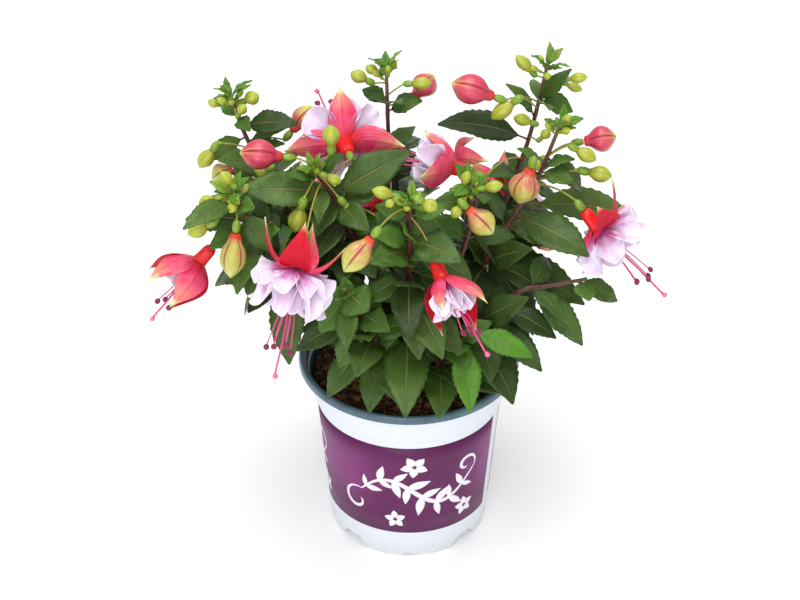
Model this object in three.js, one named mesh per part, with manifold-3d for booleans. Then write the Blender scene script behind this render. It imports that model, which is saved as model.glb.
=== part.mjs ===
/**
 * A fuchsia in a thin plastic nursery pot, in millimetres, +Z up.
 * The pot's axis is the Z axis and its feet stand on z = 0; the front is -Y.
 */
import * as THREE from "three";
import Module from "manifold-3d";

const solids = await Module();
solids.setup();

// ---------------------------------------------------------------- driving sizes
const CLEARANCE = 0.3;
const POT_SIDES = 32;
const FLOOR_TOP = 8.7;
const FLOOR_UNDERSIDE = 7.5;
const FEET = 4;
// Outer wall from the foot to the lip, then the inner wall down to the floor: radius, height.
const POT_OUTER = [[42.6, 0], [43.8, 8], [50.5, 84], [52.4, 86.5], [54.4, 102.4], [59.2, 103.6],
  [60, 105], [59.4, 107.6], [57.8, 108.2]];
const POT_INNER = [[55.6, 106.4], [51.2, 87], [49.3, 84.4], [42.4, FLOOR_TOP]];
const SKIRT_INNER_RADIUS = 41.1;
// Arches between the feet and a notch in each foot, both cut from outside to behind the skirt.
const ARCH = { height: 7, topHalfWidth: 5, footHalfWidth: 10.5 };
const NOTCH = { height: 1.5, topHalfWidth: 3, footHalfWidth: 3 };
const CUT = { from: 26, to: 48, below: 1 };
const DRAIN = { radius: 3.2, fromAxis: 27, sides: 6 };

const SOIL = { level: 97.6, crown: 2.2, sides: 16, bump: 0.7 };
const SOIL_PROFILE = [[0, FLOOR_TOP + CLEARANCE], [42, FLOOR_TOP + CLEARANCE], [48.8, 84.5], [50.7, 87],
  [52, SOIL.level - 1.4], [48, SOIL.level], [34, SOIL.level + SOIL.crown * 0.5],
  [18, SOIL.level + SOIL.crown], [0, SOIL.level + SOIL.crown]];
const HOLE_GAP = 0.35;

const SHOOT_SIDES = 5;
const SHOOT_FOOT_RADIUS = 1.9;
const SHOOT_TIP_RADIUS = 1.3;
// How far up a shoot its hole in the soil is cut, as a fraction of its line.
const HOLE_REACH = 0.125;
const LEAF_THICKNESS = 1.2;
const LEAF_FOLD = 0.14;
const LEAF_ARCH = 0.07;
const EDGE_WAVE = 0.5;
// Where a leaf's face turns: the leaves seen from the front lean to it, the others to their own side.
const SEEN_FACE = { outward: 0.3, toFront: 0.5, up: 0.75 };
const FILL_FACE = { outward: 0.5, toFront: 0.2, up: 0.8 };
const PETIOLE = { share: 0.15, halfWidth: 0.55 };
// Fractions of the leaf's length where its outline turns, for large leaves and for small ones.
const LEAF_STATIONS = [0, 0.15, 0.3, 0.54, 0.8];
const SMALL_LEAF_STATIONS = [0, 0.18, 0.46, 0.76];
const SMALL_LEAF = 32;

const TUBE_LENGTH = 12;
const TUBE_STATIONS = [[-12, 2.6], [-9, 3.7], [0, 4.6]];
const SEPAL_THICKNESS = 1.3;
const PETAL_THICKNESS = 0.7;
const DISC_RADIUS = 1.6;
const OVARY = { length: 7, radius: 2.2, endRadius: 1.6 };
// Shares of a green bud's radius, and how far along it is widest.
const GREEN_BUD = { ovary: 1.4, foot: 0.45, neck: 0.6, widest: 0.42 };
const STALK = { radius: 0.6, lift: 0.22, sides: 4 };
const SEPAL_STATIONS = [0, 0.3, 0.58, 0.84];
const SEPAL_KEEL = 0.22;
const SEPAL_WIDTH = 0.25;
// The core the petal discs sit on, and the hub of the stamens, which rests just above it.
const CORE = { radius: 1.3, single: 1.6, double: 3.4 };
const HUB = { length: 1.2, footRadius: 1.1, radius: 1.5 };
const FILAMENT = { radius: 0.5, anther: 1.25, stigma: 1.5, head: 2.6, styleReach: 1.3,
  leanShare: 0.5 };

// ------------------------------------------------------------------- the plant
// Leaf pairs that fill a shoot, and the marks it grows through from its foot to its tip.
const SHOOTS = {
  upper_left: { pairs: 3, marks: [[-12, 4, 88], [-34, 10, 144], [-63, 18, 185], [-85, 30, 224],
    [-94, 35, 250]] },
  centre_left: { pairs: 2, marks: [[-5, -1, 88], [-18, -6, 153], [-35, -8, 204], [-45, -8, 223],
    [-49, -8, 231]] },
  left: { pairs: 2, marks: [[-12, -4, 88], [-42, -12, 150], [-70, -18, 187], [-86, -24, 215],
    [-91, -25, 228]] },
  top: { pairs: 3, marks: [[-1, 5, 88], [-5, 16, 151], [-9, 34, 197], [-11, 42, 222], [-12, 50, 256]] },
  front: { pairs: 2, marks: [[0, -12, 88], [-1, -34, 160], [0, -42, 198], [0, -41, 220], [1, -40, 232]] },
  upper_right: { pairs: 3, marks: [[11, 6, 88], [38, 16, 162], [53, 28, 192], [64, 38, 222],
    [73, 44, 264]] },
  right: { pairs: 2, marks: [[13, 0, 88], [40, 1, 165], [57, 8, 194], [68, 14, 212], [79, 18, 242]] },
  centre_right: { pairs: 3, marks: [[3, -3, 88], [11, -15, 139], [26, -20, 181], [34, -18, 214],
    [32, -18, 228]] },
  low_right: { pairs: 1, marks: [[12, -7, 88], [35, -20, 140], [58, -20, 162], [72, -18, 164],
    [94, -14, 166]] },
  low_front_right: { pairs: 1, marks: [[6, -12, 88], [18, -30, 125], [26, -40, 146], [34, -46, 158]] },
  low_front_left: { pairs: 1, marks: [[-7, -11, 88], [-12, -30, 124], [-22, -42, 156], [-34, -46, 182]] },
  back_left: { pairs: 4, marks: [[-8, 11, 88], [-28, 34, 136], [-52, 44, 168], [-70, 50, 186]] },
  back_right: { pairs: 4, marks: [[7, 11, 88], [28, 34, 136], [48, 44, 168], [66, 50, 190]] },
  back: { pairs: 4, marks: [[-1, 14, 88], [-2, 42, 138], [-6, 60, 166], [-10, 66, 176]] },
};

// Leaves seen from the front: place along the shoot, tip x, y, z and full width.
const LEAVES = {
  upper_left: [[0.82, -59, 38, 230, 14], [0.77, -107, 22, 218, 12], [0.63, -98, 8, 227, 18],
    [0.75, -64, 30, 234, 8], [0.72, -66, 24, 227, 7]],
  centre_left: [[0.61, -88, -22, 228, 20], [0.6, 0, -2, 238, 20], [0.69, -47, -30, 212, 9],
    [0.56, -21, -28, 206, 14]],
  left: [[0.85, -114, -40, 216, 13], [0.75, -71, -44, 204, 14], [0.65, -104, -36, 201, 13],
    [0.42, -64, -42, 130, 19]],
  top: [[0.84, 10, 42, 244, 17], [0.88, -25, 52, 244, 10]],
  front: [[0.58, 33, -43, 186, 18], [0.36, 17, -76, 160, 20], [0.18, -2, -88, 133, 23]],
  upper_right: [[0.74, 16, 26, 239, 20], [0.88, 87, 40, 237, 13], [0.82, 52, 38, 255, 9],
    [0.87, 84, 44, 259, 9], [0.59, 52, 30, 217, 10], [0.25, 94, -8, 147, 24], [0.28, 53, 0, 172, 18]],
  right: [[0.78, 86, 4, 215, 12], [0.85, 93, 12, 204, 12], [0.48, 94, -10, 179, 22],
    [0.55, 124, 28, 179, 20], [0.25, 63, -16, 187, 16]],
  centre_right: [[0.78, 13, -42, 234, 12]],
  low_right: [[0.3, 70, -46, 130, 17], [0.38, 78, -32, 141, 14], [0.59, 93, -22, 129, 16],
    [0.27, 61, -36, 169, 16], [0.93, 112, -14, 152, 12], [0.96, 95, -22, 158, 14]],
  low_front_right: [[0.29, 16, -72, 119, 18], [0.54, 29, -62, 142, 14], [0.71, 32, -74, 123, 15],
    [0.88, 65, -52, 143, 13]],
  low_front_left: [[0.98, -21, -56, 175, 20], [0.93, -47, -52, 159, 16], [0.55, -27, -68, 144, 18],
    [0.44, -21, -64, 116, 16], [0.72, -37, -60, 141, 14], [0.77, -60, -38, 137, 14]],
  back_left: [],
  back_right: [],
  back: [],
};

// Small green buds: place along the shoot, neck, tip and greatest radius.
const GREEN_BUDS = {
  upper_left: [[0.97, [-100, 36, 243], [-106, 35, 246], 2.6],
    [0.95, [-86, 37, 245], [-79, 36, 249], 3.9], [0.93, [-89, 29, 242], [-86, 28, 248], 2.7],
    [0.72, [-104, 24, 222], [-111, 23, 212], 4.2], [0.7, [-75, 14, 216], [-83, 13, 212], 3.5]],
  centre_left: [[0.97, [-40, -13, 249], [-40, -14, 261], 4.3],
    [0.95, [-42, -14, 230], [-35, -15, 227], 3], [0.9, [-33, -16, 214], [-26, -17, 206], 3.8],
    [0.88, [-56, -20, 214], [-60, -21, 200], 4.7]],
  left: [[0.97, [-91, -27, 234], [-96, -28, 242], 3], [0.96, [-100, -29, 226], [-108, -30, 224], 3.2],
    [0.93, [-89, -33, 226], [-92, -34, 221], 2.7], [0.85, [-104, -34, 213], [-114, -35, 208], 4.3]],
  top: [[0.95, [-23, 50, 250], [-31, 49, 255], 3.7], [0.98, [-17, 53, 253], [-23, 52, 257], 2.8],
    [0.9, [2, 46, 250], [12, 45, 251], 3.5], [0.98, [-10, 54, 254], [-7, 53, 260], 2.3]],
  front: [[0.95, [-9, -44, 238], [-19, -45, 242], 3.4], [0.9, [-8, -52, 240], [-12, -53, 237], 2.3],
    [0.95, [7, -47, 236], [14, -48, 232], 3.9]],
  upper_right: [[0.95, [64, 44, 259], [56, 43, 269], 3.3], [0.93, [85, 44, 254], [94, 43, 256], 3],
    [0.9, [84, 50, 247], [92, 49, 244], 2.6], [0.85, [54, 26, 250], [43, 25, 241], 4.3],
    [0.8, [64, 33, 234], [55, 32, 238], 3.3], [0.75, [70, 26, 229], [74, 25, 234], 2.7]],
  right: [[0.97, [80, 19, 241], [84, 18, 248], 2.4], [0.85, [88, 12, 230], [98, 11, 224], 3.9],
    [0.72, [95, 14, 215], [107, 13, 213], 4.5], [0.75, [64, 6, 221], [68, 5, 228], 2.6]],
  centre_right: [[0.95, [39, -22, 228], [48, -23, 231], 3.2],
    [0.97, [28, -21, 230], [30, -23, 239], 2.6], [0.97, [26, -30, 222], [22, -33, 217], 3.2]],
  back_left: [[0.97, [-72, 53, 190], [-78, 57, 193], 3.3]],
  back_right: [[0.97, [70, 55, 193], [76, 59, 197], 3.3]],
  back: [[0.95, [-12, 71, 181], [-15, 76, 185], 3.3]],
};

// Swollen buds in colour, each a closed calyx: shoot, place on it, neck, tip, greatest radius.
const COLOUR_BUDS = [
  ["centre_left", 0.97, [-66, 2, 232], [-88, 0, 236], 8.2],
  ["upper_right", 0.87, [44, 26, 254], [22, 25, 263], 8.2],
  ["top", 0.86, [3, 54, 237], [13, 57, 249], 7],
  ["right", 0.85, [92, 22, 229], [109, 22, 232], 7.2],
  ["right", 0.66, [63, -3, 228], [57, -7, 209], 8],
  ["centre_right", 0.8, [30, -32, 222], [43, -37, 210], 7.3],
  ["front", 0.9, [-19, -66, 227], [-33, -73, 211], 7.3],
  ["centre_left", 0.55, [-11, -20, 198], [-7, -25, 181], 8],
  ["upper_left", 0.75, [-62, 36, 227], [-51, 40, 240], 6],
  ["left", 0.85, [-89, -38, 211], [-92, -45, 188], 6.6],
  ["upper_left", 0.6, [-94, 30, 207], [-105, 26, 203], 6.4],
  ["back_right", 0.72, [70, 52, 158], [78, 46, 143], 6.6],
];

// Blooms: shoot and place the stalk leaves it, throat, the way the flower opens, sepal tips
// from the throat, petals in the outer and inner row, petal length, the inner row's share of it,
// flare, filament reach, lean.
const BLOOMS = [
  { name: "bloom_top_left", shoot: "centre_left", at: 0.7, throat: [-34, 16, 232],
    axis: [-20, 96, -8], sepals: [[-2, 10, 28], [-32, -4, -3], [32, -4, 0], [0, 7, -18]],
    petals: [5, 4], length: 22, inner: 0.84, flare: 60, reach: 34,
    lean: [-6, 4, 6], filaments: 4 },
  { name: "bloom_top_centre", shoot: "upper_right", at: 0.66, throat: [22, 2, 226],
    axis: [-80, 12, 22], sepals: [[-15, 4, 19], [12, 22, 4], [20, 13, -5], [-17, -24, 9]],
    petals: [5, 0], length: 17, inner: 0.84, flare: 20, reach: 30,
    lean: [0, 0, -8], filaments: 4 },
  { name: "bloom_left", shoot: "left", at: 0.92, throat: [-111, -20, 180],
    axis: [-68, -35, -64], sepals: [[-27, 9, -10], [-25, -13, -2], [-14, -20, -14], [-16, -4, -27]],
    petals: [5, 0], length: 14, inner: 0.84, flare: 8, reach: 26,
    lean: [0, -2, -3], filaments: 3 },
  { name: "bloom_front_left", shoot: "centre_left", at: 0.75, throat: [-57, -58, 204],
    axis: [-26, -42, -86], sepals: [[5, -1, 28], [-16, 8, 25], [25, 2, 10], [8, 13, 18]],
    petals: [7, 5], length: 25, inner: 1.24, flare: 54, reach: 42,
    lean: [3, -2, -2], filaments: 6 },
  { name: "bloom_front", shoot: "front", at: 0.8, throat: [17, -62, 198],
    axis: [35, -66, -66], sepals: [[0, -17, -6], [0, -13, -25], [22, -20, 0], [17, -12, -23]],
    petals: [5, 0], length: 18, inner: 0.84, flare: 10, reach: 26,
    lean: [10, -2, -5], filaments: 4 },
  { name: "bloom_right", shoot: "right", at: 0.7, throat: [99, -4, 192],
    axis: [62, -20, -76], sepals: [[7, 6, 26], [-2, -18, 25], [-17, -3, -14], [16, 26, -2]],
    petals: [6, 3], length: 25, inner: 0.84, flare: 40, reach: 38,
    lean: [5, 0, 2], filaments: 5 },
  { name: "bloom_centre", shoot: "top", at: 0.62, throat: [-17, 8, 196],
    axis: [-40, 40, -82], sepals: [[-12, 8, -3], [14, 10, 2], [0, 2, 16], [0, 18, -14]],
    petals: [5, 0], length: 16, inner: 0.84, flare: 16, reach: 24,
    lean: [0, 0, 0], filaments: 3 },
  { name: "bloom_centre_left", shoot: "upper_left", at: 0.55, throat: [-39, 30, 180],
    axis: [14, 16, -94], sepals: [[12, -6, 16], [-16, -6, 10], [2, 16, 4], [-4, -16, -8]],
    petals: [5, 0], length: 16, inner: 0.84, flare: 26, reach: 21,
    lean: [0, 0, 0], filaments: 3 },
  { name: "bloom_back_left", shoot: "back_left", at: 0.7, throat: [-59, 66, 165],
    axis: [-15, 34, -90], sepals: [[-19, 4, 14], [18, 6, 13], [0, 19, 12], [-2, -18, 12]],
    petals: [5, 3], length: 24, inner: 0.84, flare: 44, reach: 36,
    lean: [0, 2, 0], filaments: 4 },
  { name: "bloom_back_right", shoot: "back_right", at: 0.8, throat: [52, 65, 174],
    axis: [20, 32, -90], sepals: [[-18, 6, 13], [19, 4, 12], [1, 19, 12], [-9, -14, 14]],
    petals: [5, 3], length: 24, inner: 0.84, flare: 40, reach: 36,
    lean: [0, 2, 0], filaments: 4 },
];

// Leaf pairs that fill each shoot: first and last place, length low and high on it, width and
// droop as shares of the length, the least tip height over and beside the rim, and what is tried.
const FILL = {
  from: 0.2, to: 1, low: 42, high: 16, width: 0.48, droop: 0.22,
  rim: 66, overRim: 112, besideRim: 104,
  sizes: [1, 0.75, 0.55], swings: [0, 25, -25, 50, -50], pitches: [30, 55, 5],
};

// ------------------------------------------------------------- small arithmetic
const vec = (list) => new THREE.Vector3(...list);
const plus = (point, direction, amount) => point.clone().addScaledVector(direction, amount);
const unit = (vector) => vector.clone().normalize();
const radians = THREE.MathUtils.degToRad;
const blend = (from, to, share) => from + (to - from) * share;

/** A repeatable stream of numbers between 0 and 1. */
function stream(seed) {
  let state = seed;
  return () => {
    state = (state * 16807) % 2147483647;
    return state / 2147483647;
  };
}

/** A direction at right angles to another, always chosen the same way. */
function sideOf(direction) {
  const guide = Math.abs(direction.z) > 0.9 ? vec([1, 0, 0]) : vec([0, 0, 1]);
  return new THREE.Vector3().crossVectors(direction, guide).normalize();
}

/** Point at a fraction of the smooth line through marks. */
function along(marks, fraction) {
  const last = marks.length - 1;
  const index = Math.min(Math.floor(fraction * last), last - 1);
  const w = fraction * last - index;
  const p1 = vec(marks[index]);
  const p2 = vec(marks[index + 1]);
  const p0 = index > 0 ? vec(marks[index - 1]) : plus(p1, p2.clone().sub(p1), -1);
  const p3 = index + 2 <= last ? vec(marks[index + 2]) : plus(p2, p2.clone().sub(p1), 1);
  const start = p2.clone().sub(p0).multiplyScalar(0.5);
  const end = p3.clone().sub(p1).multiplyScalar(0.5);
  return p1.clone().multiplyScalar(2 * w ** 3 - 3 * w * w + 1)
    .addScaledVector(p2, 3 * w * w - 2 * w ** 3)
    .addScaledVector(start, w ** 3 - 2 * w * w + w)
    .addScaledVector(end, w ** 3 - w * w);
}

/** Direction of growth at a fraction of a line through marks. */
function heading(marks, fraction) {
  const ahead = along(marks, Math.min(1, fraction + 0.01));
  return unit(ahead.sub(along(marks, Math.max(0, fraction - 0.01))));
}

/** Points along a quadratic curve, its first and last included. */
function curve(from, over, to, count) {
  return Array.from({ length: count + 1 }, (_, i) => {
    const t = i / count;
    return from.clone().multiplyScalar((1 - t) ** 2)
      .addScaledVector(over, 2 * t * (1 - t)).addScaledVector(to, t * t);
  });
}

// ------------------------------------------------------------------ solid makers
/** Closed solid from corner points and triangles, turned outwards if need be. */
function solid(points, triangles) {
  let volume = 0;
  for (const [a, b, c] of triangles) {
    volume += points[a].dot(new THREE.Vector3().crossVectors(points[b], points[c]));
  }
  const corners = volume < 0 ? triangles.map(([a, b, c]) => [a, c, b]) : triangles;
  return new solids.Manifold(new solids.Mesh({
    numProp: 3,
    vertProperties: new Float32Array(points.flatMap((p) => [p.x, p.y, p.z])),
    triVerts: new Uint32Array(corners.flat()),
  }));
}

/** Closed solid through rings of points; a ring of one point is a tip. */
function loft(rings) {
  const points = rings.flat();
  const starts = [];
  let total = 0;
  for (const ring of rings) {
    starts.push(total);
    total += ring.length;
  }
  const triangles = [];
  for (let r = 0; r + 1 < rings.length; r += 1) {
    triangles.push(...band(starts[r], rings[r].length, starts[r + 1], rings[r + 1].length));
  }
  triangles.push(...lid(starts[0], rings[0].length, false));
  triangles.push(...lid(starts.at(-1), rings.at(-1).length, true));
  return solid(points, triangles);
}

/** Triangles between two rings, either of which may be a single point. */
function band(a, countA, b, countB) {
  const triangles = [];
  const count = Math.max(countA, countB);
  for (let i = 0; i < count; i += 1) {
    const j = (i + 1) % count;
    const [a0, a1] = countA > 1 ? [a + i, a + j] : [a, a];
    const [b0, b1] = countB > 1 ? [b + i, b + j] : [b, b];
    if (countA > 1) triangles.push([a0, a1, b1]);
    if (countB > 1) triangles.push([a0, b1, b0]);
  }
  return triangles;
}

/** Flat end of a loft. */
function lid(start, count, last) {
  const triangles = [];
  for (let i = 1; i + 1 < count; i += 1) {
    triangles.push(last ? [start, start + i, start + i + 1] : [start, start + i + 1, start + i]);
  }
  return triangles;
}

/** Rings round a line of points, turned as little as possible from one to the next. */
function tubeRings(points, radii, sides) {
  let side = null;
  return points.map((point, i) => {
    if (radii[i] === 0) return [point];
    const [ahead, behind] = [points[Math.min(i + 1, points.length - 1)], points[Math.max(i - 1, 0)]];
    const forward = unit(ahead.clone().sub(behind));
    side = side ? unit(plus(side, forward, -side.dot(forward))) : sideOf(forward);
    const other = new THREE.Vector3().crossVectors(forward, side);
    return Array.from({ length: sides }, (_, k) => {
      const angle = (2 * Math.PI * k) / sides;
      return plus(plus(point, side, radii[i] * Math.cos(angle)), other, radii[i] * Math.sin(angle));
    });
  });
}

/** Solid of revolution about Z through radius and height pairs; radius 0 is a pole. */
function turned(profile, sides, raise = () => 0) {
  return loft(profile.map(([radius, z]) => {
    if (radius === 0) return [vec([0, 0, z + raise(0, 0, z)])];
    return Array.from({ length: sides }, (_, k) => {
      const angle = (2 * Math.PI * k) / sides;
      const x = radius * Math.cos(angle);
      const y = radius * Math.sin(angle);
      return vec([x, y, z + raise(x, y, z)]);
    });
  }));
}

/** A whorl of thin blades of even thickness that grow from the sides of one small disc. */
function whorl(grids, thickness) {
  const points = [];
  const places = new Map();
  const index = (point) => {
    const key = point.toArray().map((value) => value.toFixed(3)).join();
    if (!places.has(key)) {
      places.set(key, points.length);
      points.push(point);
    }
    return places.get(key);
  };
  const triangles = [];
  const discs = [[], []];
  for (const rows of grids) {
    const [outer, inner] = [1, -1].map((side) => rows.map((row) => row.map(
      ({ point, normal }) => index(plus(point, normal, (side * thickness) / 2)))));
    triangles.push(...bladeFaces(outer, inner));
    discs[0].push(...outer[0].slice(0, -1));
    discs[1].push(...inner[0].slice(0, -1));
  }
  for (let i = 1; i + 1 < discs[0].length; i += 1) {
    triangles.push([discs[0][0], discs[0][i + 1], discs[0][i]]);
    triangles.push([discs[1][0], discs[1][i], discs[1][i + 1]]);
  }
  return solid(points, triangles);
}

/** Both faces of a blade, split alike, and its rim except along the root. */
function bladeFaces(outer, inner) {
  const triangles = [];
  const last = outer[0].length - 1;
  for (let r = 0; r + 1 < outer.length; r += 1) {
    for (let c = 0; c < last; c += 1) {
      const corners = (face) => [face[r][c], face[r][c + 1], face[r + 1][c + 1], face[r + 1][c]];
      const [p, q, s, t] = corners(outer);
      const [u, v, w, z] = corners(inner);
      triangles.push([p, q, s], [p, s, t], [u, w, v], [u, z, w]);
    }
  }
  const rim = (face) => [...face.map((row) => row[last]), ...face.at(-1).slice(0, -1).reverse(),
    ...face.slice(0, -1).reverse().map((row) => row[0])];
  const [a, b] = [rim(outer), rim(inner)];
  for (let i = 0; i + 1 < a.length; i += 1) {
    triangles.push([a[i], b[i + 1], a[i + 1]], [a[i], b[i], b[i + 1]]);
  }
  return triangles;
}

/** One solid from several that meet. */
const fuse = (pieces) => solids.Manifold.union(pieces);

// ------------------------------------------------------------------- pot and soil
function makePot() {
  const profile = [[0, FLOOR_UNDERSIDE], [SKIRT_INNER_RADIUS, FLOOR_UNDERSIDE], [SKIRT_INNER_RADIUS, 0],
    ...POT_OUTER, ...POT_INNER, [0, FLOOR_TOP]];
  const cutters = [];
  for (let k = 0; k < FEET; k += 1) {
    const foot = (2 * Math.PI * k) / FEET;
    const between = foot + Math.PI / FEET;
    cutters.push(skirtCutter(foot, NOTCH), skirtCutter(between, ARCH), drainCutter(between));
  }
  return turned(profile, POT_SIDES).subtract(fuse(cutters));
}

/** Cutter across the skirt, at least as wide at the ground as at its top. */
function skirtCutter(angle, { height, topHalfWidth, footHalfWidth }) {
  const outward = vec([Math.cos(angle), Math.sin(angle), 0]);
  const across = vec([-Math.sin(angle), Math.cos(angle), 0]);
  const outline = [[-footHalfWidth, -CUT.below], [footHalfWidth, -CUT.below], [topHalfWidth, height],
    [-topHalfWidth, height]];
  const ring = (reach) => outline.map(
    ([x, z]) => plus(outward.clone().multiplyScalar(reach), across, x).setZ(z));
  return loft([ring(CUT.from), ring(CUT.to)]);
}

function drainCutter(angle) {
  const centre = [DRAIN.fromAxis * Math.cos(angle), DRAIN.fromAxis * Math.sin(angle)];
  const ends = [FLOOR_UNDERSIDE - 1, FLOOR_TOP + 1].map((z) => vec([...centre, z]));
  return loft(tubeRings(ends, [DRAIN.radius, DRAIN.radius], DRAIN.sides));
}

function makeSoil(holes) {
  const bumps = (x, y, z) => (z < SOIL.level - 1 ? 0
    : SOIL.bump * (Math.sin(x * 0.31 + 1) * Math.cos(y * 0.27) + 0.6 * Math.sin(x * 0.13 - y * 0.19)));
  return turned(SOIL_PROFILE, SOIL.sides, bumps).subtract(fuse(holes));
}

// ------------------------------------------------------------------------ shoots
const shootRadius = (fraction) => blend(SHOOT_FOOT_RADIUS, SHOOT_TIP_RADIUS, fraction);

function shootSolid(marks) {
  const count = marks.length + 1;
  const fractions = Array.from({ length: count + 1 }, (_, i) => i / count);
  return loft(tubeRings(fractions.map((t) => along(marks, t)), fractions.map(shootRadius), SHOOT_SIDES));
}

/** The slanted hole a shoot stands in. */
function shootHole(marks) {
  const fractions = [0, HOLE_REACH];
  const points = fractions.map((t) => along(marks, t));
  points.unshift(plus(points[0], heading(marks, 0), -CLEARANCE));
  const radii = [0, ...fractions].map((t) => shootRadius(t) + HOLE_GAP);
  return loft(tubeRings(points, radii, SHOOT_SIDES));
}

// ------------------------------------------------------------------------ leaves
/** A leaf's own frame: root, tip, line, side and face. */
function leafFrame(root, tip, width, facing) {
  const line = tip.clone().sub(root);
  const length = line.length();
  const forward = unit(line);
  const outward = unit(vec([tip.x, tip.y, 0]));
  const hint = outward.multiplyScalar(facing.outward).add(vec([0, -facing.toFront, facing.up]));
  const face = unit(plus(hint, forward, -hint.dot(forward)));
  const side = new THREE.Vector3().crossVectors(forward, face);
  return { root, line, length, face, side, half: width / 2 };
}

/** Share of the half width at a fraction of a leaf's length. */
function leafOutline(s) {
  if (s < PETIOLE.share) return 0;
  const t = Math.min(1, (s - PETIOLE.share) / (1 - PETIOLE.share));
  return Math.max(0, Math.sin(Math.PI * t ** 0.8)) ** 0.85;
}

/** Point on a leaf: fraction of length, share of half width, height over the blade. */
function leafPoint(leaf, s, x, height) {
  const half = Math.max(PETIOLE.halfWidth, leaf.half * leafOutline(s));
  const wave = EDGE_WAVE * Math.abs(x) * leafOutline(s) * Math.sin(s * 19 + x);
  const lift = LEAF_ARCH * leaf.length * 4 * s * (1 - s) + LEAF_FOLD * half * Math.abs(x) + wave + height;
  return plus(plus(plus(leaf.root, leaf.line, s), leaf.face, lift), leaf.side, half * x);
}

function leafSolid(leaf) {
  const ring = (s) => [leafPoint(leaf, s, -1, 0), leafPoint(leaf, s, 1, 0),
    leafPoint(leaf, s, 0, -LEAF_THICKNESS)];
  const stations = leaf.length < SMALL_LEAF ? SMALL_LEAF_STATIONS : LEAF_STATIONS;
  return loft([...stations.map(ring), [leafPoint(leaf, 1, 0, 0)]]);
}

/** Points spread over a leaf, close enough together to find anything that crosses it. */
function leafProbes(leaf) {
  const rows = Math.max(3, Math.ceil(leaf.length / 3));
  const columns = Math.max(1, Math.ceil(leaf.half / 3));
  const probes = [];
  for (let r = 1; r <= rows; r += 1) {
    const s = 0.08 + (0.92 * r) / rows;
    for (let c = -columns; c <= columns; c += 1) probes.push(leafPoint(leaf, s, c / columns, 0));
  }
  return probes;
}

// ------------------------------------------------------- keeping pieces apart
const LEAF_REACH = 1.5;
const OWN_GAP = 0.9;
const GAP = 1.5;
const CELL = 9;
const taken = new Map();

const cellKey = (x, y, z) => `${Math.floor(x / CELL)},${Math.floor(y / CELL)},${Math.floor(z / CELL)}`;

/** Record balls of one owner as space that is taken by its line, a stalk, a leaf or a flower. */
function take(points, reach, owner, kind) {
  for (const point of points) {
    const key = cellKey(point.x, point.y, point.z);
    if (!taken.has(key)) taken.set(key, []);
    taken.get(key).push({ point, reach, owner, kind });
  }
}

/** True if no probe of a new leaf comes too near what is already there. */
function isClear(probes, owner) {
  return probes.every((probe, index) => {
    for (const dx of [-CELL, 0, CELL]) {
      for (const dy of [-CELL, 0, CELL]) {
        for (const dz of [-CELL, 0, CELL]) {
          for (const ball of taken.get(cellKey(probe.x + dx, probe.y + dy, probe.z + dz)) ?? []) {
            const own = ball.owner === owner;
            if (own && (ball.kind === "line" || index < probes.length / 3)) continue;
            const limit = own ? ball.reach + OWN_GAP : ball.reach + GAP + LEAF_REACH;
            if (ball.point.distanceTo(probe) < limit) return false;
          }
        }
      }
    }
    return true;
  });
}

// --------------------------------------------------------------- buds and stalks
/** Stalk from a shoot to a flower or bud, arched like a hanging thread. */
function stalkPoints(root, end) {
  const over = root.clone().lerp(end, 0.5).add(vec([0, 0, STALK.lift * root.distanceTo(end)]));
  return curve(root, over, end, 2);
}

/** Stalk and the green ovary at its end, which stops short of the neck. */
function ovaryStalk(root, neck, forward) {
  const top = plus(neck, forward, -CLEARANCE);
  const foot = plus(top, forward, -OVARY.length);
  const points = [...stalkPoints(root, foot), plus(top, forward, -OVARY.length * 0.5), top];
  return { points, radii: [STALK.radius, STALK.radius, 0.9, OVARY.radius, OVARY.endRadius] };
}

/** Stalk, young ovary and closed green bud. */
function greenBud(root, neck, tip, radius) {
  const foot = plus(neck, unit(tip.clone().sub(neck)), -GREEN_BUD.ovary * radius);
  const points = [root, foot, neck, neck.clone().lerp(tip, GREEN_BUD.widest), tip];
  return { points, radii: [STALK.radius, GREEN_BUD.foot * radius, GREEN_BUD.neck * radius, radius, 0] };
}

function colourBud(neck, tip, radius) {
  const points = [0, 0.2, 0.44, 0.72, 1].map((t) => neck.clone().lerp(tip, t));
  return { points, radii: [2.6, 3.2, 0.95 * radius, 0.87 * radius, 0] };
}

// ------------------------------------------------------------------------ blooms
function bloomFrame(bloom) {
  const axis = unit(vec(bloom.axis));
  const side = sideOf(axis);
  const other = new THREE.Vector3().crossVectors(axis, side);
  return { ...bloom, throat: vec(bloom.throat), axis, side, other };
}

const radial = (frame, angle) => frame.side.clone().multiplyScalar(Math.cos(angle))
  .addScaledVector(frame.other, Math.sin(angle));

/** A sepal as a curve in the plane of the bloom's axis, with its side direction. */
function sepalFrame(frame, offset) {
  const tipOffset = vec(offset);
  const length = tipOffset.length();
  const outward = unit(plus(tipOffset, frame.axis, -tipOffset.dot(frame.axis)));
  const from = plus(plus(frame.throat, frame.axis, -1.6), outward, 3.1);
  const clasp = Math.max(0, tipOffset.dot(frame.axis)) / length;
  const over = plus(plus(frame.throat, outward, (0.42 + 0.16 * clasp) * length), frame.axis, 0.12 * length);
  const side = new THREE.Vector3().crossVectors(frame.axis, outward);
  return { from, over, to: plus(frame.throat, tipOffset, 1), side, half: SEPAL_WIDTH * length };
}

const sepalOutline = (s) => blend(0.26, 1, Math.sin(Math.PI * s ** 0.9) ** 0.8) * (1 - s ** 5);

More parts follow.
